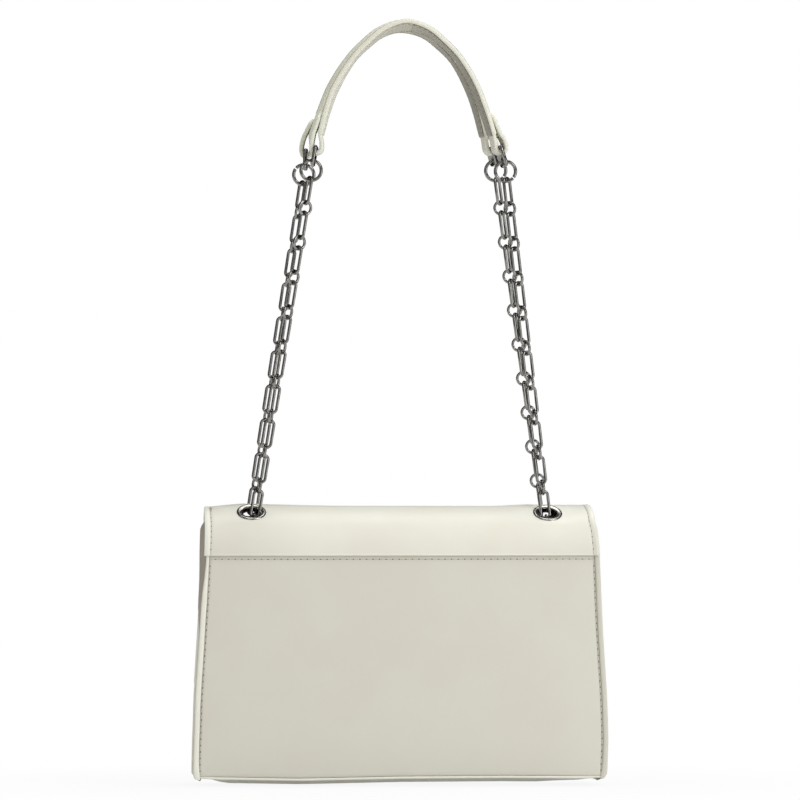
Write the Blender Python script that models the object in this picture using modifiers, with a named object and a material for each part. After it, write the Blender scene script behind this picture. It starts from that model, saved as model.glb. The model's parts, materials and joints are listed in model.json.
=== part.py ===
"""Shoulder bag that hangs from a double chain with two leather shoulder pads.

Units are metres, +Z is up and the back of the bag faces -Y.
The origin is the hook: the point under the top of the two shoulder pads.
Sizes of the bag itself are counted from the middle of its bottom.
"""

import math

import bmesh
import bpy
from mathutils import Matrix, Vector

# Names of the collections
PARTS_NAME = "shoulder_bag"
CUTTERS_NAME = "cutters"

# General fits
CLEARANCE = 0.0003
CUT_OVERRUN = 0.004
MERGE_DISTANCE = 0.00001

# Bag outline, seen from the back
BAG_HALF_WIDTH = 0.1297
BAG_DEPTH = 0.066
WALL_HEIGHT = 0.140
CORNER_RADIUS = 0.009
# Height and half width, as shares of the wall height and the widest half width
OUTLINE_SHARES = (
    (0.0, 0.996),
    (0.18, 1.0),
    (0.37, 0.994),
    (0.64, 0.975),
    (0.82, 0.963),
    (1.0, 0.953),
    (1.14, 0.944),
    (1.26, 0.930),
)
PANEL_STEPS = 8
CORNER_STEPS = 4

# Leather, lining and boards
LEATHER = 0.0018
GUSSET_LEATHER = 0.0016
LINING = 0.0008
BOARD = 0.0010
BASE_BOARD = 0.0014
BOARD_MARGIN = 0.007
PIPING_RADIUS = 0.0017
PIPING_BOTTOM = 0.0006

# Upper strip, which rolls over the top
STRIP_EDGE_HEIGHT = 0.1422
STRIP_OVERLAP = 0.0015
DOME_STEPS = 14

# Mouth and lining heights
FRONT_PANEL_HEIGHT = 0.122
LINING_HEIGHT = 0.119
BASE_FLAT_SHARE = 0.8

# Flap
FLAP_HINGE_ANGLE = math.radians(28)
FLAP_HINGE_GAP = 0.0016
FLAP_BOTTOM_HEIGHT = 0.046
FLAP_CORNER_RADIUS = 0.016
FLAP_STEPS = 8
FLAP_WALL_STEPS = 5
FLAP_LINING = 0.0010
FLAP_LINING_MARGIN = 0.004
FLAP_LINING_START = 0.006

# Magnetic snap
SNAP_HEIGHT = 0.066
SNAP_RADIUS = 0.0085
SNAP_STUD_RADIUS = 0.0075
SNAP_THICKNESS = 0.0012
SNAP_BOSS_RADIUS = 0.0040
SNAP_STEPS = 20

# Grommets: in from the widest part of the outline, and apart by what the inner chain spans
GROMMET_INSET = 0.0368
GROMMET_SPACING_Y = 0.036
GROMMET_FLANGE_RADIUS = 0.00925
GROMMET_HOLE_RADIUS = 0.00585
GROMMET_BARREL_WALL = 0.0007
GROMMET_FLANGE_HEIGHT = 0.0015
GROMMET_EDGE_HEIGHT = 0.0005
WASHER_RADIUS = 0.0088
WASHER_THICKNESS = 0.0008
GROMMET_STEPS = 20

# Chain
LINK_LENGTH = 0.0188
LINK_WIDTH = 0.0072
LINK_WIRE = 0.0017
RING_DIAMETER = 0.0088
RING_WIRE = 0.0015
FUSE_OVERLAP = 0.00045
LINK_BOW_STEPS = 3
RING_POINTS = 6
HALF_STEP_SHARE = 0.5
SEGMENTS = 5
LINK_TURN = math.radians(10)

# Jump ring and loop at each end of a pad
JUMP_DIAMETER = 0.0144
JUMP_WIRE = 0.0018
JUMP_POINTS = 14
LOOP_WIRE = 0.0017
LOOP_HEIGHT = 0.0113
LOOP_SPREAD = 0.0015
LOOP_CORNER_STEPS = 2

# Shoulder pads
PAD_WIDTH = 0.0140
PAD_LEATHER = 0.0018
PAD_LINING = 0.0014
PAD_SPACING = 0.0185
PAD_HALF_SPAN = 0.0575
PAD_RISE = 0.07435
PAD_STAGGER = 0.00205
TAB_LENGTH = 0.023
PAD_STEPS = 12
TAB_TURN_STEPS = 5
# Distance out and drop from the top, as shares of the half span and the rise
PAD_ARCH_SHARES = (
    (0.0, 0.0),
    (0.255, 0.045),
    (0.475, 0.175),
    (0.63, 0.325),
    (0.765, 0.515),
    (0.870, 0.715),
    (0.940, 0.880),
    (1.0, 1.0),
)

# The middle of the bag hangs this far to the left of the hook
BAG_OFFSET_X = -0.00375

# Radii and heights that follow from the sizes above
STRIP_RADIUS = BAG_DEPTH / 2 + CLEARANCE + LEATHER
FLAP_STANDOFF = 2 * SNAP_THICKNESS + CLEARANCE
FLAP_RADIUS = BAG_DEPTH / 2 + FLAP_STANDOFF + FLAP_LINING + CLEARANCE + LEATHER
PANEL_INSET = 2 * PIPING_RADIUS + CLEARANCE
BASE_EDGE = PIPING_BOTTOM + PIPING_RADIUS
PIPING_Y = BAG_DEPTH / 2 - LEATHER / 2
GUSSET_HALF_DEPTH = PIPING_Y - PIPING_RADIUS - CLEARANCE
GROMMET_HALF_SPACING_X = BAG_HALF_WIDTH - GROMMET_INSET
GROMMET_ANGLE = math.acos(GROMMET_SPACING_Y / 2 / STRIP_RADIUS)
GROMMET_HEIGHT = WALL_HEIGHT + STRIP_RADIUS * math.sin(GROMMET_ANGLE)
HINGE_RADIUS = STRIP_RADIUS - LEATHER / 2
FLAP_HINGE_Y = HINGE_RADIUS * math.cos(FLAP_HINGE_ANGLE)
FLAP_HINGE_HEIGHT = WALL_HEIGHT + HINGE_RADIUS * math.sin(FLAP_HINGE_ANGLE)

# Chain lengths, between the centres of the wires
LINK_REACH = LINK_LENGTH - LINK_WIRE
RING_REACH = RING_DIAMETER - RING_WIRE
JUMP_REACH = JUMP_DIAMETER - JUMP_WIRE
WIRE_CONTACT = (LINK_WIRE + RING_WIRE) / 2
FIRST_LINK = JUMP_REACH - (JUMP_WIRE + LINK_WIRE) / 2 - CLEARANCE
FUSED_PITCH = LINK_REACH + RING_REACH - 2 * (WIRE_CONTACT - FUSE_OVERLAP)
SPLIT_PITCH = FUSED_PITCH - FUSE_OVERLAP - CLEARANCE
SEGMENT_PITCH = FUSED_PITCH + SPLIT_PITCH
CHAIN_REACH = FIRST_LINK + (SEGMENTS - 1) * SEGMENT_PITCH + FUSED_PITCH + LINK_REACH

# Places, counted from the hook
PAD_MIDDLE = PAD_LEATHER / 2 + CLEARANCE + PAD_LINING
LOOP_BAR_DROP = LOOP_HEIGHT - LOOP_WIRE
UPPER_BAR_Z = PAD_MIDDLE - PAD_RISE
LOWER_BAR_Z = UPPER_BAR_Z - LOOP_BAR_DROP
PIVOT_Z = LOWER_BAR_Z + (LOOP_WIRE + JUMP_WIRE) / 2 + CLEARANCE
PIVOT_HALF_SPAN = PAD_HALF_SPAN + LOOP_SPREAD
PIVOT_Y = PAD_SPACING / 2
GROMMET_Y = GROMMET_SPACING_Y / 2


def pivot_place(side, row):
    """Top of the jump ring: side is -1 left or 1 right, row is -1 back or 1 front."""
    return Vector((side * PIVOT_HALF_SPAN - row * PAD_STAGGER, row * PIVOT_Y, PIVOT_Z))


def chain_drop(side, row):
    """How far a chain of full length reaches down from its jump ring to its grommet."""
    top = pivot_place(side, row)
    run_x = BAG_OFFSET_X + side * GROMMET_HALF_SPACING_X - top.x
    run_y = row * GROMMET_Y - top.y
    return math.sqrt(CHAIN_REACH ** 2 - run_x ** 2 - run_y ** 2)


# The back left chain sets the height of the bag
BAG_BOTTOM_Z = PIVOT_Z - chain_drop(-1, -1) - GROMMET_HEIGHT
BAG_PLACE = Vector((BAG_OFFSET_X, 0, BAG_BOTTOM_Z))

# Colours, roughness and metal share of the surfaces
IVORY = ((0.77, 0.74, 0.65), 0.45, 0.0)
PALE_IVORY = ((0.80, 0.79, 0.70), 0.42, 0.0)
LINING_CLOTH = ((0.52, 0.49, 0.42), 0.85, 0.0)
GREY_BOARD = ((0.35, 0.32, 0.28), 0.90, 0.0)
NICKEL = ((0.72, 0.72, 0.70), 0.18, 1.0)
MAGNET = ((0.60, 0.60, 0.58), 0.30, 1.0)


def clear_scene():
    for old in list(bpy.data.objects):
        bpy.data.objects.remove(old, do_unlink=True)


def new_collection(name):
    collection = bpy.data.collections.new(name)
    bpy.context.scene.collection.children.link(collection)


def put_in(collection_name, thing):
    bpy.data.collections[collection_name].objects.link(thing)


def new_material(name, surface):
    colour, roughness, metallic = surface
    material = bpy.data.materials.new(name)
    material.use_nodes = True
    shader = material.node_tree.nodes["Principled BSDF"]
    shader.inputs["Base Color"].default_value = (*colour, 1.0)
    shader.inputs["Roughness"].default_value = roughness
    shader.inputs["Metallic"].default_value = metallic
    return material


def new_body(name, place):
    """An empty that carries the pieces that move together, on their joint's axis."""
    empty = bpy.data.objects.new(name, None)
    empty.location = place
    put_in(PARTS_NAME, empty)
    return empty


def add_piece(name, mesh, surface, body, place=Vector(), turn=None):
    """Make one named piece and hang it on its body, at a place counted from the hook."""
    piece = bpy.data.objects.new(name, mesh)
    put_in(PARTS_NAME, piece)
    if turn is not None:
        piece.rotation_euler = turn.to_euler()
    piece.location = place
    if body is not None:
        piece.parent = body
        piece.location = place - body.location
    if not mesh.materials:
        mesh.materials.append(None)
    piece.material_slots[0].link = "OBJECT"
    piece.material_slots[0].material = new_material(name, surface)
    return piece


def add_wall(piece, thickness, offset=-1.0):
    wall = piece.modifiers.new("Wall", "SOLIDIFY")
    wall.thickness = thickness
    wall.offset = offset
    wall.use_even_offset = True
    return wall


def add_cut(piece, cutter):
    cut = piece.modifiers.new("Cut", "BOOLEAN")
    cut.operation = "DIFFERENCE"
    cut.object = cutter
    return cut


def add_cutter(name, mesh, place, turn=None):
    cutter = bpy.data.objects.new(name, mesh)
    put_in(CUTTERS_NAME, cutter)
    cutter.location = place
    if turn is not None:
        cutter.rotation_euler = turn.to_euler()
    cutter.hide_render = True
    cutter.display_type = "WIRE"
    return cutter


def grid_mesh(name, rows):
    """A sheet through rows of points, with the same count of points in each row."""
    sheet = bmesh.new()
    lines = [[sheet.verts.new(point) for point in row] for row in rows]
    for upper, lower in zip(lines, lines[1:]):
        for index in range(len(upper) - 1):
            sheet.faces.new((upper[index], upper[index + 1], lower[index + 1], lower[index]))
    mesh = bpy.data.meshes.new(name)
    sheet.to_mesh(mesh)
    sheet.free()
    return mesh


def smooth(mesh, angle=math.radians(40)):
    mesh.shade_smooth()
    mesh.set_sharp_from_angle(angle=angle)
    return mesh


def flat_outline(name, points, thickness):
    """A flat plate from a closed outline in its own XY plane."""
    curve = bpy.data.curves.new(name, "CURVE")
    curve.dimensions = "2D"
    curve.fill_mode = "BOTH"
    curve.extrude = thickness / 2
    spline = curve.splines.new("POLY")
    spline.points.add(len(points) - 1)
    for point, (x, y) in zip(spline.points, points):
        point.co = (x, y, 0, 1)
    spline.use_cyclic_u = True
    return curve_mesh(name, curve)


def tube_mesh(name, points, wire, closed, sides_step):
    """A round wire of the given diameter along a list of points."""
    curve = bpy.data.curves.new(name, "CURVE")
    curve.dimensions = "3D"
    curve.bevel_depth = wire / 2
    curve.bevel_resolution = sides_step
    curve.use_fill_caps = not closed
    spline = curve.splines.new("POLY")
    spline.points.add(len(points) - 1)
    for point, place in zip(spline.points, points):
        point.co = (*place, 1)
    spline.use_cyclic_u = closed
    return curve_mesh(name, curve)


def curve_mesh(name, curve):
    """Turn a curve into a closed mesh and weld its caps."""
    holder = bpy.data.objects.new(name, curve)
    bpy.context.scene.collection.objects.link(holder)
    bpy.context.view_layer.update()
    evaluated = holder.evaluated_get(bpy.context.evaluated_depsgraph_get())
    mesh = bpy.data.meshes.new_from_object(evaluated)
    mesh.name = name
    shape = bmesh.new()
    shape.from_mesh(mesh)
    bmesh.ops.remove_doubles(shape, verts=shape.verts, dist=MERGE_DISTANCE)
    bmesh.ops.recalc_face_normals(shape, faces=shape.faces)
    shape.to_mesh(mesh)
    shape.free()
    bpy.data.objects.remove(holder, do_unlink=True)
    return mesh


def turned_mesh(name, profile, steps):
    """A turned shape around Z from a profile of radius and height, top first."""
    shape = bmesh.new()
    points = [shape.verts.new((radius, 0, height)) for radius, height in profile]
    for start, end in zip(points, points[1:] + points[:1]):
        shape.edges.new((start, end))
    outline = bpy.data.meshes.new(name)
    shape.to_mesh(outline)
    shape.free()
    holder = bpy.data.objects.new(name, outline)
    bpy.context.scene.collection.objects.link(holder)
    screw = holder.modifiers.new("Turn", "SCREW")
    screw.axis = "Z"
    screw.steps = steps
    screw.render_steps = steps
    screw.use_merge_vertices = True
    screw.merge_threshold = MERGE_DISTANCE
    screw.use_smooth_shade = True
    bpy.context.view_layer.update()
    evaluated = holder.evaluated_get(bpy.context.evaluated_depsgraph_get())
    mesh = bpy.data.meshes.new_from_object(evaluated)
    mesh.name = name
    shape = bmesh.new()
    shape.from_mesh(mesh)
    bmesh.ops.remove_doubles(shape, verts=shape.verts, dist=MERGE_DISTANCE)
    bmesh.ops.recalc_face_normals(shape, faces=shape.faces)
    shape.to_mesh(mesh)
    shape.free()
    bpy.data.objects.remove(holder, do_unlink=True)
    return smooth(mesh)


def cylinder_mesh(name, radius, height, steps):
    shape = bmesh.new()
    bmesh.ops.create_cone(
        shape,
        cap_ends=True,
        segments=steps,
        radius1=radius,
        radius2=radius,
        depth=height,
    )
    mesh = bpy.data.meshes.new(name)
    shape.to_mesh(mesh)
    shape.free()
    return mesh


def between(shares, position):
    """Read a table of shares at a position, in straight steps."""
    for (start, low), (end, high) in zip(shares, shares[1:]):
        if position <= end:
            return low + (high - low) * (position - start) / (end - start)
    return shares[-1][1]


def half_width(height):
    """Half the width of the bag, to the outside of its piping, at a height."""
    return BAG_HALF_WIDTH * between(OUTLINE_SHARES, max(height, 0) / WALL_HEIGHT)


def side_outline(inset, top):
    """Right side of the outline from the top, round the corner, to the bottom edge."""
    bottom = PIPING_BOTTOM + CORNER_RADIUS
    points = []
    for step in range(PANEL_STEPS + 1):
        height = top + (bottom - top) * step / PANEL_STEPS
        points.append((half_width(height) - inset, height))
    centre_x = half_width(bottom) - CORNER_RADIUS
    radius = CORNER_RADIUS - inset
    for step in range(1, CORNER_STEPS + 1):
        angle = math.pi / 2 * step / CORNER_STEPS
        points.append((centre_x + radius * math.cos(angle), bottom - radius * math.sin(angle)))
    return points


def whole_outline(inset, top):
    """The outline from the top right, round the bottom, to the top left."""
    right = side_outline(inset, top)
    left = [(-x, z) for x, z in reversed(right)]
    return right + left


def board_outline(top):
    """A board's outline, with square corners, a margin inside its panel."""
    bottom = PIPING_BOTTOM + PANEL_INSET + BOARD_MARGIN
    inset = PANEL_INSET + BOARD_MARGIN
    right = []
    for step in range(PANEL_STEPS + 1):
        height = top + (bottom - top) * step / PANEL_STEPS
        right.append((half_width(height) - inset, height))
    return right + [(-x, z) for x, z in reversed(right)]


def standing_plate(name, points, thickness):
    """A plate in the XZ plane, its middle on the plane."""
    mesh = flat_outline(name, points, thickness)
    mesh.transform(Matrix.Rotation(math.pi / 2, 4, "X"))
    return mesh


def make_walls(bag):
    """Back and front panels, their boards, the piping, the gussets and the base."""
    panels = (
        ("back", -1, STRIP_EDGE_HEIGHT + STRIP_OVERLAP, STRIP_EDGE_HEIGHT),
        ("front", 1, FRONT_PANEL_HEIGHT, FRONT_PANEL_HEIGHT),
    )
    walls = {}
    for name, row, panel_top, piping_top in panels:
        outline = whole_outline(PANEL_INSET, panel_top)
        plate = standing_plate(name + "_panel", outline, LEATHER)
        place = BAG_PLACE + Vector((0, row * PIPING_Y, 0))
        walls[name] = add_piece(name + "_panel", plate, IVORY, bag, place)

        outline = whole_outline(PIPING_RADIUS, piping_top - CLEARANCE)
        route = [(x, 0, z) for x, z in outline]
        tube = smooth(tube_mesh(name + "_piping", route, 2 * PIPING_RADIUS, False, 2))
        add_piece(name + "_piping", tube, PALE_IVORY, bag, place)

        board_top = min(panel_top, LINING_HEIGHT) - BOARD_MARGIN
        board = standing_plate(name + "_board", board_outline(board_top), BOARD)
        inner = BAG_DEPTH / 2 - LEATHER - CLEARANCE - BOARD / 2
        place = BAG_PLACE + Vector((0, row * inner, 0))
        walls[name + "_board"] = add_piece(name + "_board", board, GREY_BOARD, bag, place)

    for name, side in (("left", -1), ("right", 1)):
        gusset = grid_mesh(name + "_gusset", gusset_rows(side))
        smooth(gusset)
        piece = add_piece(name + "_gusset", gusset, IVORY, bag, BAG_PLACE)
        add_wall(piece, GUSSET_LEATHER)

    base = add_piece("base_panel", grid_mesh("base_panel", base_rows()), IVORY, bag, BAG_PLACE)
    add_wall(base, GUSSET_LEATHER, 1.0)
    return walls


def gusset_rows(side):
    """Rows of a gusset, from its round top down the side and round the corner."""
    inner_radius = STRIP_RADIUS - LEATHER - CLEARANCE
    rows = []
    for step in range(1, DOME_STEPS // 2 + 1):
        angle = math.pi / 2 * (1 - step / (DOME_STEPS // 2))
        height = WALL_HEIGHT + inner_radius * math.sin(angle)
        if height < STRIP_EDGE_HEIGHT:
            break
        rows.append((half_width(height) - PIPING_RADIUS, inner_radius * math.cos(angle), height))
    shoulder = STRIP_EDGE_HEIGHT - CLEARANCE
    for x, height in side_outline(PIPING_RADIUS, shoulder):
        rows.append((x, GUSSET_HALF_DEPTH, height))
    sheet = []
    for x, depth, height in rows:
        ends = (side * depth, -side * depth)
        sheet.append([(side * x, y, height) for y in ends])
    return sheet


def base_rows():
    """Rows of the base: flat in the middle, and rising to the piping at its edges."""
    corner = PIPING_BOTTOM + CORNER_RADIUS
    half_x = half_width(corner) - CORNER_RADIUS - CLEARANCE
    flat_x = half_x - GUSSET_HALF_DEPTH * (1 - BASE_FLAT_SHARE)
    flat_y = GUSSET_HALF_DEPTH * BASE_FLAT_SHARE
    rows = []
    for y in (-GUSSET_HALF_DEPTH, -flat_y, flat_y, GUSSET_HALF_DEPTH):
        row = []
        for x in (-half_x, -flat_x, flat_x, half_x):
            edge = abs(x) > flat_x or abs(y) > flat_y
            row.append((x, y, BASE_EDGE if edge else 0))
        rows.append(row)
    return rows


def sheet_row(depth, height, half):
    """One row of a sheet that faces out, from the left to the right of the bag."""
    return [(-half, depth, height), (0, depth, height), (half, depth, height)]


def make_top(bag):
    """The upper strip: up the back, over the round top, as far as the flap."""
    rows = [(-STRIP_RADIUS, STRIP_EDGE_HEIGHT)]
    last = FLAP_HINGE_ANGLE + FLAP_HINGE_GAP / STRIP_RADIUS
    first = math.pi - math.asin((STRIP_EDGE_HEIGHT - WALL_HEIGHT) / STRIP_RADIUS)
    for step in range(1, DOME_STEPS + 1):
        angle = first + (last - first) * step / DOME_STEPS
        height = WALL_HEIGHT + STRIP_RADIUS * math.sin(angle)
        rows.append((STRIP_RADIUS * math.cos(angle), height))
    sheet = [sheet_row(y, z, half_width(z)) for y, z in rows]
    mesh = smooth(grid_mesh("top_panel", sheet))
    top = add_piece("top_panel", mesh, PALE_IVORY, bag, BAG_PLACE)
    add_wall(top, LEATHER)

    barrel = GROMMET_HOLE_RADIUS + GROMMET_BARREL_WALL
    hole = cylinder_mesh("grommet_hole", barrel + CLEARANCE, 2 * CUT_OVERRUN, GROMMET_STEPS)
    for name, place, turn in grommet_places():
        add_cut(top, add_cutter(name + "_hole", hole, place, turn))
    return top


def grommet_places():
    """Name, place and turn of the four grommets, on the outside of the round top."""
    for row_name, row in (("back", -1), ("front", 1)):
        for side_name, side in (("left", -1), ("right", 1)):
            middle = Vector((side * GROMMET_HALF_SPACING_X, row * GROMMET_Y, GROMMET_HEIGHT))
            place = BAG_PLACE + middle
            lean = Matrix.Rotation(row * (GROMMET_ANGLE - math.pi / 2), 4, "X")
            yield row_name + "_" + side_name, place, lean


def make_grommets(bag):
    barrel = GROMMET_HOLE_RADIUS + GROMMET_BARREL_WALL
    seat = CLEARANCE
    middle = (GROMMET_FLANGE_RADIUS + GROMMET_HOLE_RADIUS) / 2
    inner_radius = STRIP_RADIUS - LEATHER
    hollow = inner_radius - math.sqrt(inner_radius ** 2 - WASHER_RADIUS ** 2)
    under = -LEATHER - hollow - CLEARANCE
    profile = (
        (middle, seat + GROMMET_FLANGE_HEIGHT),
        (GROMMET_FLANGE_RADIUS, seat + GROMMET_EDGE_HEIGHT),
        (GROMMET_FLANGE_RADIUS, seat),
        (barrel, seat),
        (barrel, under - WASHER_THICKNESS),
        (GROMMET_HOLE_RADIUS, under - WASHER_THICKNESS),
        (GROMMET_HOLE_RADIUS, seat + GROMMET_EDGE_HEIGHT),
    )
    flange = turned_mesh("grommet", profile, GROMMET_STEPS)
    profile = (
        (WASHER_RADIUS, under),
        (WASHER_RADIUS, under - WASHER_THICKNESS),
        (barrel + CLEARANCE, under - WASHER_THICKNESS),
        (barrel + CLEARANCE, under),
    )
    washer = turned_mesh("washer", profile, GROMMET_STEPS)
    for name, place, turn in grommet_places():
        add_piece(name + "_grommet", flange, NICKEL, bag, place, turn)
        add_piece(name + "_washer", washer, NICKEL, bag, place, turn)


def make_inside(bag, walls):
    """Lining, base board and the socket of the magnetic snap."""
    half_depth = BAG_DEPTH / 2 - LEATHER - BOARD - 3 * CLEARANCE
    inset = PIPING_RADIUS + GUSSET_LEATHER + 2 * CLEARANCE
    board_z = BASE_EDGE + GUSSET_LEATHER + CLEARANCE
    bottom = board_z + BASE_BOARD + CLEARANCE
    low = half_width(PIPING_BOTTOM + CORNER_RADIUS) - inset - CORNER_RADIUS / 2
    high = half_width(LINING_HEIGHT) - inset - CLEARANCE
    shape = bmesh.new()
    bmesh.ops.create_cube(shape, size=2)
    lid = [face for face in shape.faces if face.normal.z > 0]
    for vertex in shape.verts:
        upper = vertex.co.z > 0
        vertex.co.x *= high if upper else low
        vertex.co.y *= half_depth
        vertex.co.z = LINING_HEIGHT if upper else bottom
    bmesh.ops.delete(shape, geom=lid, context="FACES")
    mesh = bpy.data.meshes.new("lining")
    shape.to_mesh(mesh)
    shape.free()
    add_wall(add_piece("lining", mesh, LINING_CLOTH, bag, BAG_PLACE), LINING)

    shape = bmesh.new()
    bmesh.ops.create_cube(shape, size=1)
    size = (2 * (low - BOARD_MARGIN), 2 * (half_depth - BOARD_MARGIN), BASE_BOARD)
    bmesh.ops.scale(shape, vec=size, verts=shape.verts)
    mesh = bpy.data.meshes.new("base_board")
    shape.to_mesh(mesh)
    shape.free()
    place = BAG_PLACE + Vector((0, 0, board_z + BASE_BOARD / 2))
    add_piece("base_board", mesh, GREY_BOARD, bag, place)

    boss = LEATHER + BOARD + CLEARANCE
    hole = cylinder_mesh("snap_hole", SNAP_BOSS_RADIUS + CLEARANCE, 2 * CUT_OVERRUN, SNAP_STEPS)
    across = Matrix.Rotation(-math.pi / 2, 4, "X")
    place = BAG_PLACE + Vector((0, BAG_DEPTH / 2, SNAP_HEIGHT))
    cutter = add_cutter("snap_socket_hole", hole, place, across)
    add_cut(walls["front"], cutter)
    add_cut(walls["front_board"], cutter)
    profile = (
        (0, SNAP_THICKNESS),
        (SNAP_RADIUS, SNAP_THICKNESS),
        (SNAP_RADIUS, CLEARANCE),
        (SNAP_BOSS_RADIUS, CLEARANCE),
        (SNAP_BOSS_RADIUS, -boss),
        (0, -boss),
    )
    socket = turned_mesh("snap_socket", profile, SNAP_STEPS)
    add_piece("snap_socket", socket, MAGNET, bag, place, across)


def flap_profile(inset, start):
    """Points down the front, from the hinge over the edge of the top to the flap's end."""
    points = []
    first = FLAP_HINGE_ANGLE - start / STRIP_RADIUS
    for step in range(FLAP_STEPS + 1):
        angle = first * (1 - step / FLAP_STEPS)
        share = (1 - angle / FLAP_HINGE_ANGLE)
        ease = share * share * (3 - 2 * share)
        radius = STRIP_RADIUS + (FLAP_RADIUS - STRIP_RADIUS) * ease - inset
        points.append((radius * math.cos(angle), WALL_HEIGHT + radius * math.sin(angle)))
    return points


def flap_rows(inset, start, margin):
    """Rows of the flap or of its lining, with round lower corners."""
    rows = [(y, z, half_width(z) - margin) for y, z in flap_profile(inset, start)]
    depth = FLAP_RADIUS - inset
    corner = FLAP_CORNER_RADIUS - margin
    bottom = FLAP_BOTTOM_HEIGHT + margin
    shoulder = bottom + corner
    for step in range(1, FLAP_WALL_STEPS + 1):
        height = WALL_HEIGHT + (shoulder - WALL_HEIGHT) * step / FLAP_WALL_STEPS
        rows.append((depth, height, half_width(height) - margin))
    for step in range(1, CORNER_STEPS + 1):
        angle = math.pi / 2 * step / CORNER_STEPS
        half = half_width(shoulder) - margin - corner * (1 - math.cos(angle))
        rows.append((depth, shoulder - corner * math.sin(angle), half))
    return [sheet_row(y, z, half) for y, z, half in rows]


def make_flap(flap):
    leather = smooth(grid_mesh("flap", flap_rows(0, FLAP_HINGE_GAP, 0)))
    add_wall(add_piece("flap", leather, IVORY, flap, BAG_PLACE), LEATHER)
    rows = flap_rows(LEATHER + CLEARANCE, FLAP_LINING_START, FLAP_LINING_MARGIN)
    lining = smooth(grid_mesh("flap_lining", rows))
    piece = add_piece("flap_lining", lining, PALE_IVORY, flap, BAG_PLACE)
    add_wall(piece, FLAP_LINING)

    inner_face = FLAP_RADIUS - LEATHER - CLEARANCE - FLAP_LINING
    across = Matrix.Rotation(math.pi / 2, 4, "X")
    place = BAG_PLACE + Vector((0, inner_face, SNAP_HEIGHT))
    boss_hole = SNAP_BOSS_RADIUS + CLEARANCE
    hole = cylinder_mesh("stud_hole", boss_hole, FLAP_LINING + CLEARANCE, SNAP_STEPS)
    middle = place + Vector((0, FLAP_LINING / 2, 0))
    add_cut(piece, add_cutter("snap_stud_hole", hole, middle, across))
    profile = (
        (0, SNAP_THICKNESS),
        (SNAP_STUD_RADIUS, SNAP_THICKNESS),
        (SNAP_STUD_RADIUS, CLEARANCE),
        (SNAP_BOSS_RADIUS, CLEARANCE),
        (SNAP_BOSS_RADIUS, -FLAP_LINING),
        (0, -FLAP_LINING),
    )
    stud = turned_mesh("snap_stud", profile, SNAP_STEPS)
    add_piece("snap_stud", stud, MAGNET, flap, place, across)


def link_points():
    """Middle line of one long link, standing in the XZ plane, its top bow at the origin."""
    bow = (LINK_WIDTH - LINK_WIRE) / 2
    points = []
    for end, middle in ((1, -bow), (-1, bow - LINK_REACH)):
        for step in range(LINK_BOW_STEPS + 1):
            angle = math.pi * step / LINK_BOW_STEPS
            points.append((end * bow * math.cos(angle), 0, middle + end * bow * math.sin(angle)))
    return points


def circle_points(radius, count):
    """Points of a ring that stands in the XZ plane and hangs from the origin by a flat."""
    corner = radius / math.cos(math.pi / count)
    points = []
    for step in range(count):
        angle = 2 * math.pi * (step + HALF_STEP_SHARE) / count
        points.append((corner * math.sin(angle), 0, corner * math.cos(angle) - radius))
    return points


def fused_mesh(name, shapes):
    """Join closed wires that touch into one closed mesh."""
    pieces = []
    for index, (mesh, matrix) in enumerate(shapes):
        wire = bpy.data.objects.new(name + "_wire_" + str(index), mesh)
        wire.matrix_world = matrix
        bpy.context.scene.collection.objects.link(wire)
        pieces.append(wire)
    whole = pieces[0]
    for wire in pieces[1:]:
        join = whole.modifiers.new("Join", "BOOLEAN")
        join.operation = "UNION"
        join.object = wire
    bpy.context.view_layer.update()
    evaluated = whole.evaluated_get(bpy.context.evaluated_depsgraph_get())
    mesh = bpy.data.meshes.new_from_object(evaluated)
    mesh.name = name
    mesh.transform(whole.matrix_world)
    for wire in pieces:
        bpy.data.objects.remove(wire, do_unlink=True)
    return smooth(mesh)


def segment_mesh(name, link, ring, last):
    """Two long links and the rings below them, each turned a little further."""
    quarter = math.pi / 2
    ring_start = LINK_REACH - WIRE_CONTACT + FUSE_OVERLAP
    stack = [
        (link, 0, 0),
        (ring, ring_start, quarter - LINK_TURN / 2),
        (link, FUSED_PITCH, -LINK_TURN),
    ]
    if not last:
        stack.append((ring, FUSED_PITCH + ring_start, quarter - LINK_TURN * 3 / 2))
    shapes = []
    for mesh, drop, turn in stack:
        shapes.append((mesh, Matrix.Translation((0, 0, -drop)) @ Matrix.Rotation(turn, 4, "Z")))
    return fused_mesh(name, shapes)


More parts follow.
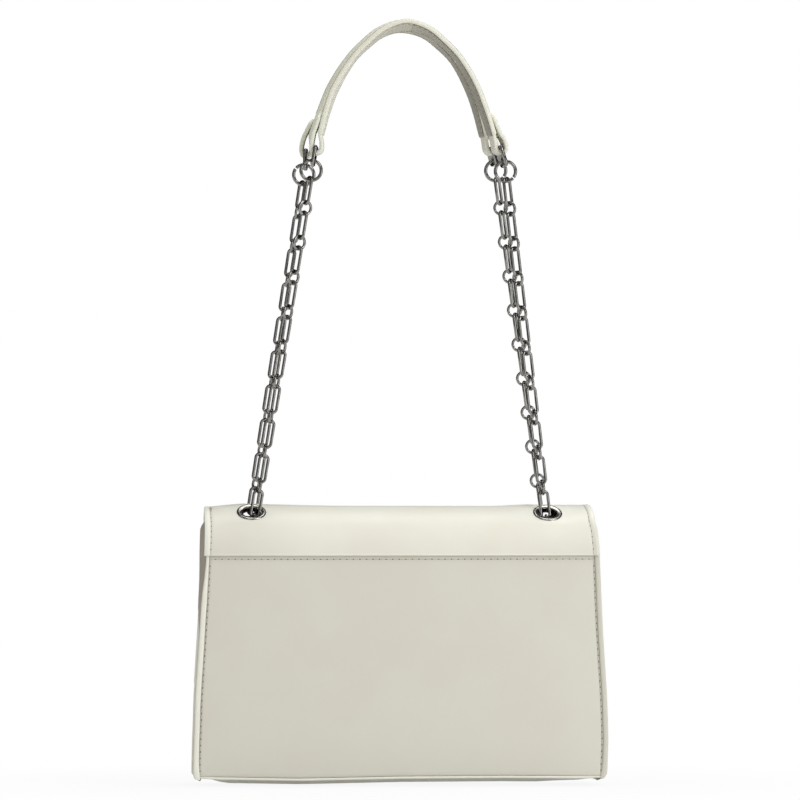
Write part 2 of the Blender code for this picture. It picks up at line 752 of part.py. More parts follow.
def make_chains(bag_hook):
    """Four chains, each with its jump ring, from the shoulder pads to the grommets."""
    link = tube_mesh("link", link_points(), LINK_WIRE, True, 1)
    ring_line = circle_points(RING_REACH / 2, RING_POINTS)
    ring = tube_mesh("ring", ring_line, RING_WIRE, True, 1)
    long_segment = segment_mesh("chain_segment", link, ring, False)
    last_segment = segment_mesh("chain_end", link, ring, True)
    jump_line = circle_points(JUMP_REACH / 2, JUMP_POINTS)
    jump = smooth(tube_mesh("jump_ring", jump_line, JUMP_WIRE, True, 2))
    first_turn = math.pi / 2
    bodies = {}
    for row_name, row in (("back", -1), ("front", 1)):
        for side_name, side in (("left", -1), ("right", 1)):
            name = row_name + "_" + side_name
            top = pivot_place(side, row)
            run_x = BAG_OFFSET_X + side * GROMMET_HALF_SPACING_X - top.x
            run_y = row * GROMMET_Y - top.y
            along = Vector((run_x, run_y, -chain_drop(side, row))).normalized()
            facing = Vector((0, -1, 0))
            facing = (facing - along * facing.dot(along)).normalized()
            across = facing.cross(along)
            frame = Matrix((across, -facing, -along)).transposed().to_4x4()
            body = new_body("chain_" + name, top)
            bodies[name] = body
            add_piece(name + "_jump_ring", jump, NICKEL, body, top, frame)
            for index in range(SEGMENTS):
                drop = FIRST_LINK + index * SEGMENT_PITCH
                turn = first_turn - 2 * index * LINK_TURN
                mesh = last_segment if index == SEGMENTS - 1 else long_segment
                piece = name + "_chain_" + str(index + 1)
                matrix = frame @ Matrix.Rotation(turn, 4, "Z")
                add_piece(piece, mesh, NICKEL, body, top + along * drop, matrix)
    make_inner_chains(bag_hook, link, ring)
    return bodies


def make_inner_chains(bag, link, ring):
    """Inside the bag a short run of chain joins the back and front grommets."""
    hang = (LINK_WIRE + RING_WIRE) / 2 + CLEARANCE
    ring_middle = hang - RING_REACH / 2
    grip = RING_REACH / 2 - WIRE_CONTACT + FUSE_OVERLAP
    run = LINK_REACH + 2 * grip
    slope = math.acos(GROMMET_Y / run)
    sag = run * math.sin(slope)
    quarter = Matrix.Rotation(math.pi / 2, 4, "Z")
    to_middle = Matrix.Translation((0, 0, RING_REACH / 2))
    shapes = []
    for y, z in ((-GROMMET_Y, ring_middle), (0, ring_middle - sag), (GROMMET_Y, ring_middle)):
        shapes.append((ring, Matrix.Translation((0, y, z)) @ quarter @ to_middle))
    for row in (-1, 1):
        start = Vector((0, row * GROMMET_Y, ring_middle))
        along = Vector((0, -row * math.cos(slope), -math.sin(slope)))
        lean = Matrix.Rotation(row * (slope - math.pi / 2), 4, "X")
        shapes.append((link, Matrix.Translation(start + along * grip) @ lean))
    order = [shapes[0], shapes[3], shapes[1], shapes[4], shapes[2]]
    mesh = fused_mesh("inner_chain", order)
    for name, side in (("left", -1), ("right", 1)):
        place = BAG_PLACE + Vector((side * GROMMET_HALF_SPACING_X, 0, GROMMET_HEIGHT))
        add_piece(name + "_inner_chain", mesh, NICKEL, bag, place)


def smooth_arch(count):
    """Points of the pads' middle line, from the top to the end, as a smooth curve."""
    knots = [Vector((x, z)) for x, z in PAD_ARCH_SHARES]
    before = Vector((-knots[1].x, knots[1].y))
    after = 2 * knots[-1] - knots[-2]
    line = [before] + knots + [after]
    spans = len(knots) - 1
    points = []
    for step in range(count + 1):
        place = spans * step / count
        index = min(int(place), spans - 1)
        t = place - index
        p0, p1, p2, p3 = line[index:index + 4]
        point = 2 * p1 + (p2 - p0) * t
        point += (2 * p0 - 5 * p1 + 4 * p2 - p3) * t * t
        point += (3 * p1 - p0 - 3 * p2 + p3) * t * t * t
        points.append(Vector((point.x / 2 * PAD_HALF_SPAN, PAD_MIDDLE - point.y / 2 * PAD_RISE)))
    return points


def mirrored(points):
    """The same line on the left side, in the order from left to right."""
    return [Vector((-point.x, point.y)) for point in reversed(points)]


def shifted(points, distance):
    """Shift a line of points out along its normals."""
    moved = []
    for index, point in enumerate(points):
        before = points[max(index - 1, 0)]
        after = points[min(index + 1, len(points) - 1)]
        run = (after - before).normalized()
        moved.append(point + Vector((-run.y, run.x)) * distance)
    return moved


def line_length(points):
    return sum((after - before).length for before, after in zip(points, points[1:]))


def strap_mesh(name, line):
    """A ribbon of leather along a line in the XZ plane."""
    half = PAD_WIDTH / 2
    rows = [[(point.x, half, point.y), (point.x, -half, point.y)] for point in line]
    return smooth(grid_mesh(name, rows))


def make_pads(pads):
    half_line = smooth_arch(PAD_STEPS)
    whole_line = mirrored(half_line[1:]) + half_line
    end_gap = LOOP_WIRE / 2 + CLEARANCE
    tip, inner = half_line[-1], half_line[-2]
    outer_half = half_line[:-1] + [tip + (inner - tip).normalized() * end_gap]
    outer_line = mirrored(outer_half[1:]) + outer_half

    reach = PAD_LEATHER / 2 + CLEARANCE + PAD_LINING / 2
    under_line = shifted(whole_line, -reach)
    tab = []
    for point in reversed(shifted(whole_line, reach)):
        tab.append(point)
        if line_length(tab) >= TAB_LENGTH:
            break
    start = under_line[-1] - tip
    turn = []
    for step in range(1, TAB_TURN_STEPS):
        angle = math.pi * step / TAB_TURN_STEPS
        turn.append(tip + Matrix.Rotation(angle, 2) @ start)
    end_line = turn + tab
    lining_line = mirrored(end_line) + under_line + end_line

    for row_name, row in (("back", -1), ("front", 1)):
        place = Vector((-row * PAD_STAGGER, row * PAD_SPACING / 2, 0))
        name = row_name + "_pad"
        leather = add_piece(name, strap_mesh(name, outer_line), IVORY, pads, place)
        add_wall(leather, PAD_LEATHER, 0.0)
        name = row_name + "_pad_lining"
        lining = add_piece(name, strap_mesh(name, lining_line), PALE_IVORY, pads, place)
        add_wall(lining, PAD_LINING, 0.0)


def make_loops(pads):
    """Four rectangular loops, each held in the folded end of a pad."""
    corner = CLEARANCE + LOOP_WIRE / 2
    centre_y = PAD_WIDTH / 2
    low = corner - LOOP_BAR_DROP
    points = []
    centres = ((centre_y, -corner), (-centre_y, -corner), (-centre_y, low), (centre_y, low))
    for turn, (y, z) in enumerate(centres):
        for step in range(LOOP_CORNER_STEPS + 1):
            angle = math.pi / 2 * (turn + step / LOOP_CORNER_STEPS)
            points.append((0, y + corner * math.cos(angle), z + corner * math.sin(angle)))
    mesh = smooth(tube_mesh("loop", points, LOOP_WIRE, True, 2))
    for row_name, row in (("back", -1), ("front", 1)):
        for side_name, side in (("left", -1), ("right", 1)):
            name = row_name + "_" + side_name + "_loop"
            x = side * PAD_HALF_SPAN - row * PAD_STAGGER
            place = Vector((x, row * PAD_SPACING / 2, UPPER_BAR_Z))
            lean = Matrix.Rotation(-side * math.atan(LOOP_SPREAD / LOOP_BAR_DROP), 4, "Y")
            add_piece(name, mesh, NICKEL, pads, place, lean)


def main():
    clear_scene()
    new_collection(PARTS_NAME)
    new_collection(CUTTERS_NAME)
    pads = new_body("strap", Vector())
    make_pads(pads)
    make_loops(pads)
    back_left_end = BAG_PLACE + Vector((-GROMMET_HALF_SPACING_X, -GROMMET_Y, GROMMET_HEIGHT))
    bag = new_body("bag", back_left_end)
    make_chains(bag)
    walls = make_walls(bag)
    make_top(bag)
    make_grommets(bag)
    make_inside(bag, walls)
    hinge = BAG_PLACE + Vector((0, FLAP_HINGE_Y, FLAP_HINGE_HEIGHT))
    make_flap(new_body("flap_hinge", hinge))


main()
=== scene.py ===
# %% [markdown]
# # A shoulder bag on a double chain
# The bag hangs from two leather shoulder pads and four strands of chain, and is seen from behind.
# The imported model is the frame: it gives every place and every moving body. This lesson dresses it:
# each plain solid gets a piece that is shaped, stitched and finished as the real one is.

import json
import math

import bpy
import numpy as np
from mathutils import Matrix, Vector

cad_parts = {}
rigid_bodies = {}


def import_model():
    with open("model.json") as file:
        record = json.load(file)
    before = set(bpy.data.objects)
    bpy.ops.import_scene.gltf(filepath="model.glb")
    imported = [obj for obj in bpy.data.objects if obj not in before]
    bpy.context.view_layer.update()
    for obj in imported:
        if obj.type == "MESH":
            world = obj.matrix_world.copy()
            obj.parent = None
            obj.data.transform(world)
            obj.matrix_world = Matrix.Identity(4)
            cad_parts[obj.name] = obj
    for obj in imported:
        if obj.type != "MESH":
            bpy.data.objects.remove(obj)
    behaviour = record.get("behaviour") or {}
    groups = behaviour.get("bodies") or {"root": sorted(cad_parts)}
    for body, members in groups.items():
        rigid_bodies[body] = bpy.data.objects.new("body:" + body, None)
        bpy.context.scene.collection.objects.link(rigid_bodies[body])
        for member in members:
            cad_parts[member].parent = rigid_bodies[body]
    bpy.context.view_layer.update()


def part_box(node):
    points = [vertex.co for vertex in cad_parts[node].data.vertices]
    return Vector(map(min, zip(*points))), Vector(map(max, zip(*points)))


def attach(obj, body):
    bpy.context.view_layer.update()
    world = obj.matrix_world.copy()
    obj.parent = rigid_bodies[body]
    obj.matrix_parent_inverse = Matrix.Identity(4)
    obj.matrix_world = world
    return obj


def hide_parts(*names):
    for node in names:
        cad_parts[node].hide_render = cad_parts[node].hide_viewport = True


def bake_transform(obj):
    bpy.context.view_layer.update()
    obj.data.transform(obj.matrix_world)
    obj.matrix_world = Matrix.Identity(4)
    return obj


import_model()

# %% [markdown]
# ## Sizes
# All lengths are in metres, so that a size can be set against the real thing. Sizes that the frame
# holds already, such as where the bottom of the bag lies, are read from it and not written again.
# The outline isn't quite straight, so tables give half its width and its lean to the right by the
# height, and the wave of its lower edge by the place across. The first row of a table holds the
# places and the second row the value at each.

# %% Sizes of the bag
MM = 0.001
ROWS = {"back": -1, "front": 1}
SIDES = {"left": -1, "right": 1}
QUARTERS = {f"{row}_{side}": (ROWS[row], SIDES[side]) for row in ROWS for side in SIDES}
X_AXIS, Y_AXIS, Z_AXIS = Vector((1, 0, 0)), Vector((0, 1, 0)), Vector((0, 0, 1))
BOTTOM_EDGE = 0.0006
base_low, base_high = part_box("base_panel")
BAG_X = (base_low.x + base_high.x) / 2 + 0.0006
BAG_Z = base_low.z + BOTTOM_EDGE
WALL_TOP = 0.140
WALL_Y = 0.033
CORNER = {-1: 0.0040, 1: 0.0065}
DOME_RADIUS = 0.0351
LEATHER = 0.0018
THIN_LEATHER = 0.0016
STRIP_EDGE = 0.1416
FRONT_TOP = 0.122
EDGE_BAND = 0.0034
SEAM_INSET = 0.0041
HINGE_ANGLE = math.radians(28)
GROMMET_X = 0.0929
GROMMET_Y = 0.018
GROMMET_ANGLE = math.acos(GROMMET_Y / DOME_RADIUS)
FRONT_IN = 0.0013
HALF_WIDTHS = (
    (0.0, 0.0252, 0.0518, 0.0896, 0.1148, 0.140, 0.1477, 0.1572, 0.1634, 0.1697, 0.1764),
    (0.1295, 0.1297, 0.1289, 0.1265, 0.1251, 0.1239, 0.1236, 0.1231, 0.1225, 0.1224, 0.1217),
)
LEAN = (
    (0.008, 0.028, 0.095, 0.125, 0.1477, 0.1572, 0.1634, 0.1697, 0.1764),
    (-0.0006, 0.0, 0.0, 0.0003, 0.0003, 0.0001, -0.0004, -0.0006, -0.0015),
)
WAVE = (
    (-0.126, -0.115, -0.062, 0.0, 0.064, 0.101, 0.126),
    (0.0002, 0.0003, -0.0006, 0.0006, 0.0009, 0.0006, 0.0003),
)


def read(table, place):
    """The value that a table gives at a place."""
    return float(np.interp(place, *table))


def ease(low, high, value):
    """0 below low, 1 above high, and smooth between them."""
    share = min(max((value - low) / (high - low), 0.0), 1.0)
    return share * share * (3 - 2 * share)


def bag_point(x, y, z):
    """A point counted from the middle of the bag's bottom, in the frame."""
    return Vector((BAG_X + x + read(LEAN, z), y, BAG_Z + z))


def half_at(height, depth=-WALL_Y):
    """Half the width at a height and a depth: the front is a little narrower than the back."""
    return read(HALF_WIDTHS, height) - FRONT_IN * ease(-0.030, 0.030, depth)


def wave(x, height):
    """How much higher the leather lies near the bottom."""
    return read(WAVE, x) * (1 - ease(0, 0.03, height))


def round_off(radius, height_over_bottom):
    """How far a round corner draws a side in, at a height over the corner's bottom."""
    drop = min(max(radius - height_over_bottom, 0.0), radius)
    return radius - math.sqrt(max(radius * radius - drop * drop, 0.0))


def dome(angle, radius=DOME_RADIUS):
    """Depth and height of a point on the round top, at an angle over the horizontal."""
    return radius * math.cos(angle), WALL_TOP + radius * math.sin(angle)


print("bag bottom at", round(BAG_Z, 4), "and middle at", round(BAG_X, 4))

# %% [markdown]
# ## Small tools of the bench
# Blender's own tools act on what is selected. These helpers select one piece, run the tool and
# leave the piece with its place in its mesh, as the frame's own nodes have it.

# %% Select, name and edit


def new(add, name, **settings):
    """Add a primitive with nothing else selected, under its own name."""
    bpy.ops.object.select_all(action="DESELECT")
    add(**settings)
    return named(name)


def named(name):
    piece = bpy.context.object
    piece.name = piece.data.name = name
    return piece


def take(piece):
    """Select one piece alone and make it active."""
    bpy.ops.object.select_all(action="DESELECT")
    piece.select_set(True)
    bpy.context.view_layer.objects.active = piece
    return piece


def settle(piece):
    """Write the piece's place, turn and scale into its mesh."""
    take(piece)
    bpy.ops.object.transform_apply(location=True, rotation=True, scale=True)
    return piece


def edit(piece, kind="VERT", chosen=None):
    """Open a piece in edit mode, with all of it selected or only the points or faces that are chosen."""
    take(piece)
    bpy.ops.object.mode_set(mode="EDIT")
    bpy.ops.mesh.select_mode(type=kind)
    bpy.ops.mesh.select_all(action="DESELECT" if chosen else "SELECT")
    if chosen:
        bpy.ops.object.mode_set(mode="OBJECT")
        for part in piece.data.vertices if kind == "VERT" else piece.data.polygons:
            part.select = chosen(part)
        bpy.ops.object.mode_set(mode="EDIT")


def close():
    """Leave edit mode."""
    bpy.ops.object.mode_set(mode="OBJECT")


print("piece tools ready")

# %% Modifiers and clean meshes


def finish_with(piece, kind, **settings):
    """Add one modifier, set it and apply it."""
    take(piece)
    modifier = piece.modifiers.new(kind.title(), kind)
    for setting, value in settings.items():
        setattr(modifier, setting, value)
    bpy.ops.object.modifier_apply(modifier=modifier.name)
    return piece


def thicken(piece, wall):
    """Give a sheet its wall, on the inner side."""
    return finish_with(piece, "SOLIDIFY", thickness=wall, offset=-1.0)


def blunt(piece, width, segments=2):
    """Round a piece's sharp edges."""
    sharp = {"limit_method": "ANGLE", "angle_limit": 1.0}
    return finish_with(piece, "BEVEL", width=width, segments=segments, **sharp)


def clean(piece, merge=0.00002):
    """Merge doubles, close open ends and point the faces outwards."""
    edit(piece)
    bpy.ops.mesh.remove_doubles(threshold=merge)
    bpy.ops.mesh.fill_holes(sides=0)
    bpy.ops.mesh.select_all(action="SELECT")
    bpy.ops.mesh.normals_make_consistent(inside=False)
    close()
    return piece


def smooth(piece, angle=50):
    take(piece)
    bpy.ops.object.shade_smooth_by_angle(angle=math.radians(angle))
    return piece


print("mesh tools ready")

# %% Sheets, sweeps, marks and copies


def sheet(name, rows):
    """A grid whose crossings are moved to rows of points: bottom row first, each from left to right
    as seen from outside, which points the faces out."""
    cuts = {"x_subdivisions": len(rows[0]) - 1, "y_subdivisions": len(rows) - 1}
    piece = new(bpy.ops.mesh.primitive_grid_add, name, size=1, **cuts)
    places = np.array([tuple(point) for row in rows for point in row], np.float32)
    piece.data.vertices.foreach_set("co", places.ravel())
    piece.data.update()
    return piece


def swept(name, stations):
    """A closed body through rings of points, one ring for each station."""
    return smooth(clean(sheet(name, [list(ring) + [ring[0]] for ring in stations])))


def mark(piece, name, value_of):
    """Store a number on each point, worked out from its place, for the finish to read."""
    values = np.array([value_of(vertex.co) for vertex in piece.data.vertices], np.float32)
    piece.data.attributes.new(name, "FLOAT", "POINT").data.foreach_set("value", values)
    return piece


def copies(name, pattern, matrices):
    """Copy one modelled shape to each place, every copy with its own mesh, and join them."""
    made = []
    for matrix in matrices:
        copy = pattern.copy()
        copy.data = pattern.data.copy()
        copy.data.transform(matrix)
        bpy.context.scene.collection.objects.link(copy)
        made.append(copy)
    take(made[0])
    for copy in made:
        copy.select_set(True)
    bpy.ops.object.join()
    return named(name)


print("shape tools ready")

# %% Turns, spacing and lines


def turned_to(x_way, y_way, z_way):
    """A turn that sets the three axes along three directions."""
    return Matrix((x_way, y_way, z_way)).transposed().to_4x4()


def square_to(direction, along):
    """The part of a direction that stands square to another."""
    return (direction - along * direction.dot(along)).normalized()


def spread(half, steps, count):
    """Places from one edge to the other: close together at the edges, even in the middle."""
    inner = half - steps[-1]
    middle = [inner * (2 * i / count - 1) for i in range(1, count)]
    return [-half + step for step in steps] + middle + [half - step for step in reversed(steps)]


def curve_through(knots, steps):
    """Points of a smooth curve through knots."""
    line = [np.array(knot, float) for knot in knots]
    line = [2 * line[0] - line[1]] + line + [2 * line[-1] - line[-2]]
    points = []
    for index in range(len(knots) - 1):
        p0, p1, p2, p3 = line[index:index + 4]
        for step in range(steps):
            t = step / steps
            cubic = 2 * p1 + (p2 - p0) * t + (2 * p0 - 5 * p1 + 4 * p2 - p3) * t * t
            points.append((cubic + (3 * p1 - p0 - 3 * p2 + p3) * t ** 3) / 2)
    points.append(line[-2])
    return points


def walk(points, pitch, start=0.0):
    """Places along a line of points at an even pitch, with the direction of the line at each."""
    line = [Vector(point) for point in points]
    found, due, gone = [], start, 0.0
    for before, after in zip(line, line[1:]):
        run = (after - before).length
        while run > 0 and due <= gone + run:
            found.append((before.lerp(after, (due - gone) / run), (after - before).normalized()))
            due += pitch
        gone += run
    return found


print("line tools ready")

# %% [markdown]
# ## Writing a finish
# A finish is a Principled shader fed by a few nodes. Writing nodes one by one is long, so a socket is
# wrapped in a small class: plus, minus and times on it add the Math nodes. What varies over the
# surface feeds only the colour, the roughness and the bump; the rest is set on the shader itself.

# %% A socket that reckons


class Value:
    """An output socket that can be reckoned with."""

    def __init__(self, nodes, socket):
        self.nodes = nodes
        self.socket = socket

    def reckon(self, operation, first, second):
        return self.nodes.add("ShaderNodeMath", {"operation": operation}, {0: first, 1: second})

    def __add__(self, other):
        return self.reckon("ADD", self, other)

    def __sub__(self, other):
        return self.reckon("SUBTRACT", self, other)

    def __rsub__(self, other):
        return self.reckon("SUBTRACT", other, self)

    def __mul__(self, other):
        return self.reckon("MULTIPLY", self, other)

    __radd__ = __add__
    __rmul__ = __mul__


print("sockets ready")

# %% Nodes of a material or of the world


class Nodes:
    """The nodes of a material or of the world."""

    def __init__(self, tree):
        self.tree = tree

    def add(self, kind, settings=None, inputs=None, output=0):
        """Add a node: its settings first, then the values or links of its sockets."""
        node = self.tree.nodes.new(kind)
        for setting, value in (settings or {}).items():
            setattr(node, setting, value)
        for socket, value in (inputs or {}).items():
            if isinstance(value, Value):
                self.tree.links.new(value.socket, node.inputs[socket])
            else:
                node.inputs[socket].default_value = value
        return Value(self, node.outputs[output])

    def stepped(self, value, low, high, least=0.0, most=1.0):
        """The least below low, the most above high, and smooth between them."""
        inputs = {"Value": value, "From Min": low, "From Max": high, "To Min": least, "To Max": most}
        return self.add("ShaderNodeMapRange", {"interpolation_type": "SMOOTHSTEP"}, inputs)

    def white_rays(self):
        """1 for the rays that see plain white: of the camera, of gloss and through glass."""
        kinds = ("Is Camera Ray", "Is Glossy Ray", "Is Transmission Ray")
        camera, glossy, through = [self.add("ShaderNodeLightPath", output=kind) for kind in kinds]
        return camera + glossy + through

    def shown(self, share, plain, white, output):
        """Two shaders mixed by a share, shown by the tree's output node."""
        both = self.add("ShaderNodeMixShader", inputs={0: share, 1: plain, 2: white})
        self.tree.links.new(both.socket, output.inputs[0])


print("nodes ready")

# %% A finish and its colours


class Finish(Nodes):
    """One material and its Principled shader."""

    def __init__(self, name, **surface):
        self.material = bpy.data.materials.new(name)
        self.material.use_nodes = True
        super().__init__(self.material.node_tree)
        self.shader = self.tree.nodes["Principled BSDF"]
        for setting, value in surface.items():
            self.shader.inputs[setting.replace("_", " ")].default_value = value
        self.place = self.add("ShaderNodeTexCoord", output="Object")

    def noise(self, scale, detail=2.0, rough=0.5):
        """Noise of a given count of features to a metre, from 0 to 1."""
        inputs = {"Vector": self.place, "Scale": scale, "Detail": detail, "Roughness": rough}
        return self.add("ShaderNodeTexNoise", inputs=inputs, output="Fac")

    def stripes(self, direction, scale):
        """Soft stripes of a given count to a metre."""
        inputs = {"Vector": self.place, "Scale": scale}
        return self.add("ShaderNodeTexWave", {"bands_direction": direction}, inputs, "Fac")

    def mark(self, name):
        return self.add("ShaderNodeAttribute", {"attribute_name": name}, output="Fac")

    def mixed(self, share, low, high):
        """A colour between two others."""
        return self.add("ShaderNodeMix", {"data_type": "RGBA"}, {0: share, 6: low, 7: high}, output=2)

    def bump(self, height, strength, distance, under=None):
        inputs = {"Height": height, "Strength": strength, "Distance": distance}
        if under is not None:
            inputs["Normal"] = under
        return self.add("ShaderNodeBump", inputs=inputs)

    def feed(self, **links):
        for socket, value in links.items():
            self.tree.links.new(value.socket, self.shader.inputs[socket.replace("_", " ")])
        return self.material


def colour(code):
    """A written colour, as light: what the eye sees as the code has to be linear in a shader."""
    parts = [int(code[i:i + 2], 16) / 255 for i in (1, 3, 5)]
    return (*[p / 12.92 if p <= 0.04045 else ((p + 0.055) / 1.055) ** 2.4 for p in parts], 1.0)


print("finishes can be made")

# %% [markdown]
# ## Leather
# The bag is of a smooth coated leather: ivory, with a tight grain that only shows as a soft sparkle,
# broad clouds of slightly warmer and cooler tone, and a low gloss. Turned edges are painted paler: a
# painted highlight along their rounded rib. The pieces carry two marks for this: "edge" paints that
# highlight, and "seam" mixes towards the dust-and-shade colour: dust and painted shade in a stitched
# groove, and painted shade under the strip, along the panel's bottom, on the right bands, the outer
# parts of the strip, the base, the hinge and the pad linings.

# %% Leather finishes
# The colour of dust in stitched grooves and of painted shade.
DUST_AND_SHADE = "#8E8A7A"


def leather(name, codes, gloss=0.42, grain=0.22, dust_and_shade=DUST_AND_SHADE):
    """Leather of three written colours: plain, in its clouds, and the painted highlight of a turned edge."""
    plain, warm, edge = map(colour, codes)
    finish = Finish(name, Specular_IOR_Level=0.42, Sheen_Weight=0.06, Sheen_Roughness=0.4)
    cloud = finish.stepped(finish.noise(22, 2.0), 0.35, 0.68)
    speckle = finish.stepped(finish.noise(1500, 1.0), 0.58, 0.78)
    tone = finish.mixed(cloud, plain, warm)
    tone = finish.mixed(speckle * 0.16, tone, edge)
    # Painted highlight by the "edge" mark, then dust and painted shade by the "seam" mark.
    tone = finish.mixed(finish.mark("edge") * 0.85, tone, edge)
    tone = finish.mixed(finish.mark("seam") * 0.75, tone, colour(dust_and_shade))
    waves = finish.bump(finish.noise(60, 2.0), 0.10, 0.0012)
    fine = finish.bump(finish.noise(1300, 2.0, 0.5), grain, 0.00015, waves)
    shine = finish.noise(90, 3.0) * 0.12 + gloss - 0.06
    return finish.feed(Base_Color=tone, Roughness=shine, Normal=fine)


STRIP_LEATHER = leather("Upper leather", ("#E3E2D6", "#E1DED1", "#EDEDE2"), 0.40)
PANEL_LEATHER = leather("Panel leather", ("#D5D3C7", "#D4D0C4", "#E6E5D8"))
# The turned-edge leather is paler than the panel leather: a painted highlight of the rounded bands and rolls.
EDGE_LEATHER = leather("Turned edge leather", ("#E4E3D6", "#E1DED0", "#EEEDE2"), 0.44)
GUSSET_LEATHER = leather("Gusset leather", ("#9C9385", "#A3998C", "#B4AEA1"), 0.50)
PAD_LEATHER = leather("Shoulder pad leather", ("#DFDFD1", "#DEDBCC", "#ECECDF"), 0.46, 0.12)
UNDER_LEATHER = leather("Pad lining leather", ("#E1DFD3", "#DBD8CB", "#E4E2D6"), 0.52, 0.12)
# A darker copy of the lining leather, with a darker dust-and-shade colour: painted shade for the right half of
# each pad lining.
SHADED_LINING_LEATHER = leather("Lining leather in painted shade", ("#9D9A8E", "#969286", "#B2AFA2"), 0.52, 0.12, "#6A665A")
print("leathers:", [m.name for m in bpy.data.materials if "eather" in m.name])

# %% [markdown]
# ## Metal, thread, cloth and board
# The metal is polished nickel: smooth, with faint scuffs that change only its gloss. The thread is a
# waxed grey olive. The needle holes are painted dark, as the shade inside them. Inside are a woven cloth and a
# fibre board.

# %% Other finishes


def nickel(name, tone, gloss):
    finish = Finish(name, Metallic=1.0)
    scuffs = finish.stepped(finish.noise(420, 4.0, 0.65), 0.45, 0.75)
    return finish.feed(
        Base_Color=finish.mixed(finish.noise(140, 2.0) * 0.5, colour(tone), colour("#94928D")),
        Roughness=scuffs * 0.10 + gloss,
        Normal=finish.bump(finish.noise(500, 2.0), 0.04, 0.0002),
    )


def thread(name, tone, light):
    finish = Finish(name, Roughness=0.7)
    twist = finish.stripes("DIAGONAL", 900.0)
    tones = finish.mixed(twist, colour(tone), colour(light))
    return finish.feed(Base_Color=tones, Normal=finish.bump(twist, 0.3, 0.0001))


def plain_weave(name, tone, light, threads):
    """Two sets of threads that cross, as a cloth or as the felt of a board."""
    finish = Finish(name, Roughness=0.85)
    weave = finish.stripes("X", threads) * finish.stripes("Z", threads)
    tones = finish.mixed(weave * 0.6 + finish.noise(80) * 0.4, colour(tone), colour(light))
    return finish.feed(Base_Color=tones, Normal=finish.bump(weave, 0.35, 0.0002))


def dull(name, tone):
    """One tone, with a little change in its gloss."""
    finish = Finish(name, Base_Color=colour(tone))
    return finish.feed(Roughness=finish.noise(300) * 0.2 + 0.8)


CHAIN_METAL = nickel("Chain nickel", "#8A8884", 0.03)
GROMMET_METAL = nickel("Grommet nickel", "#B2AFA8", 0.20)
SNAP_METAL = nickel("Snap metal", "#A9A8A2", 0.28)
THREAD = thread("Waxed thread", "#B6B4A4", "#CAC8B9")
HOLE_SHADE = dull("Needle hole shade", "#5E5A50")
LINING_CLOTH = plain_weave("Lining cloth", "#B5AE9C", "#C9C3B2", 420.0)
FIBRE_BOARD = plain_weave("Fibre board", "#7F776A", "#968E80", 160.0)


def dress(piece, body, material, slot, *nodes):
    """Give a piece its finish, the body that it moves with and the nodes that it stands for."""
    piece.data.materials.clear()
    piece.data.materials.append(material)
    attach(piece, body)
    if nodes:
        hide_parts(*nodes)
    return piece


print("finishes:", len(bpy.data.materials))

# %% [markdown]
# ## Stitches
# A seam is a row of short slanted threads that dive into needle holes. One thread and one hole are
# modelled, as capsules of forty faces, and copied along the seam at its pitch. They are real pieces
# and not paint, so that they catch light from any side; the holes are dark, as painted shade inside them.

# %% Thread and needle hole
STITCH_PITCH = 0.0040
STITCH_LENGTH = 0.0030
STITCH_SLANT = Matrix.Rotation(math.radians(4), 4, "Y")
THREAD_THICK = 0.00055
HOLE_SIZE = 0.0007
HOLE_LENGTH = 0.0010
LIFT = 0.00005


def capsule(name, length, thickness, flat):
    """A ball whose two halves are drawn apart along Z and which is pressed flat in Y."""
    ball = {"segments": 8, "ring_count": 5, "radius": thickness / 2}
    piece = new(bpy.ops.mesh.primitive_uv_sphere_add, name, **ball)
    for side in (-1, 1):
        edit(piece, "VERT", lambda vertex: vertex.co.z * side > 0)
        bpy.ops.transform.translate(value=(0, 0, side * (length - thickness) / 2))
        close()
    edit(piece)
    bpy.ops.transform.resize(value=(1, flat, 1))
    close()
    bpy.ops.object.shade_smooth()
    return piece


def seam(name, points, outward_at, body, slot, pitch=STITCH_PITCH):
    """Threads and holes along a line of points, on the side that outward_at tells."""
    threads, holes = [], []
    for index, (point, along) in enumerate(walk(points, pitch / 2, pitch / 4)):
        outward = outward_at(point)
        over = square_to(outward, along)
        turn = turned_to(over.cross(along), over, along)
        if index % 2:
            holes.append(Matrix.Translation(point - outward * LIFT) @ turn)
        else:
            threads.append(Matrix.Translation(point + outward * LIFT) @ turn @ STITCH_SLANT)
    dress(copies(name + "_thread", THREAD_PATTERN, threads), body, THREAD, slot)
    dress(copies(name + "_holes", HOLE_PATTERN, holes), body, HOLE_SHADE, slot)
    return len(threads)


THREAD_PATTERN = capsule("thread_pattern", STITCH_LENGTH, THREAD_THICK, 0.7)
HOLE_PATTERN = capsule("hole_pattern", HOLE_LENGTH, HOLE_SIZE, 0.45)
print("stitch pitch:", round(STITCH_PITCH / MM, 1), "mm")

# %% [markdown]
# ## Lower back panel
# The panel is one sheet of leather that is filled a little by what is behind it, so it swells by about
# two millimetres and rolls down to its seams. A grid gives control of that: its crossings lie close
# together near the seams and far apart in the middle. Solidify gives it its thickness.

# %% The two flat panels
EDGE_STEPS = (0.0, 0.0003, 0.0007, 0.0012, 0.0019, 0.0030, 0.0048, 0.0080, 0.0130)
PANEL_BOTTOM = 0.0034
PANEL_CORNER = 0.0012
PANEL_GAP = 0.00005
PUFF = 0.0019
EDGE_ROLL = 0.0003
UNDER_STRIP = 0.0026


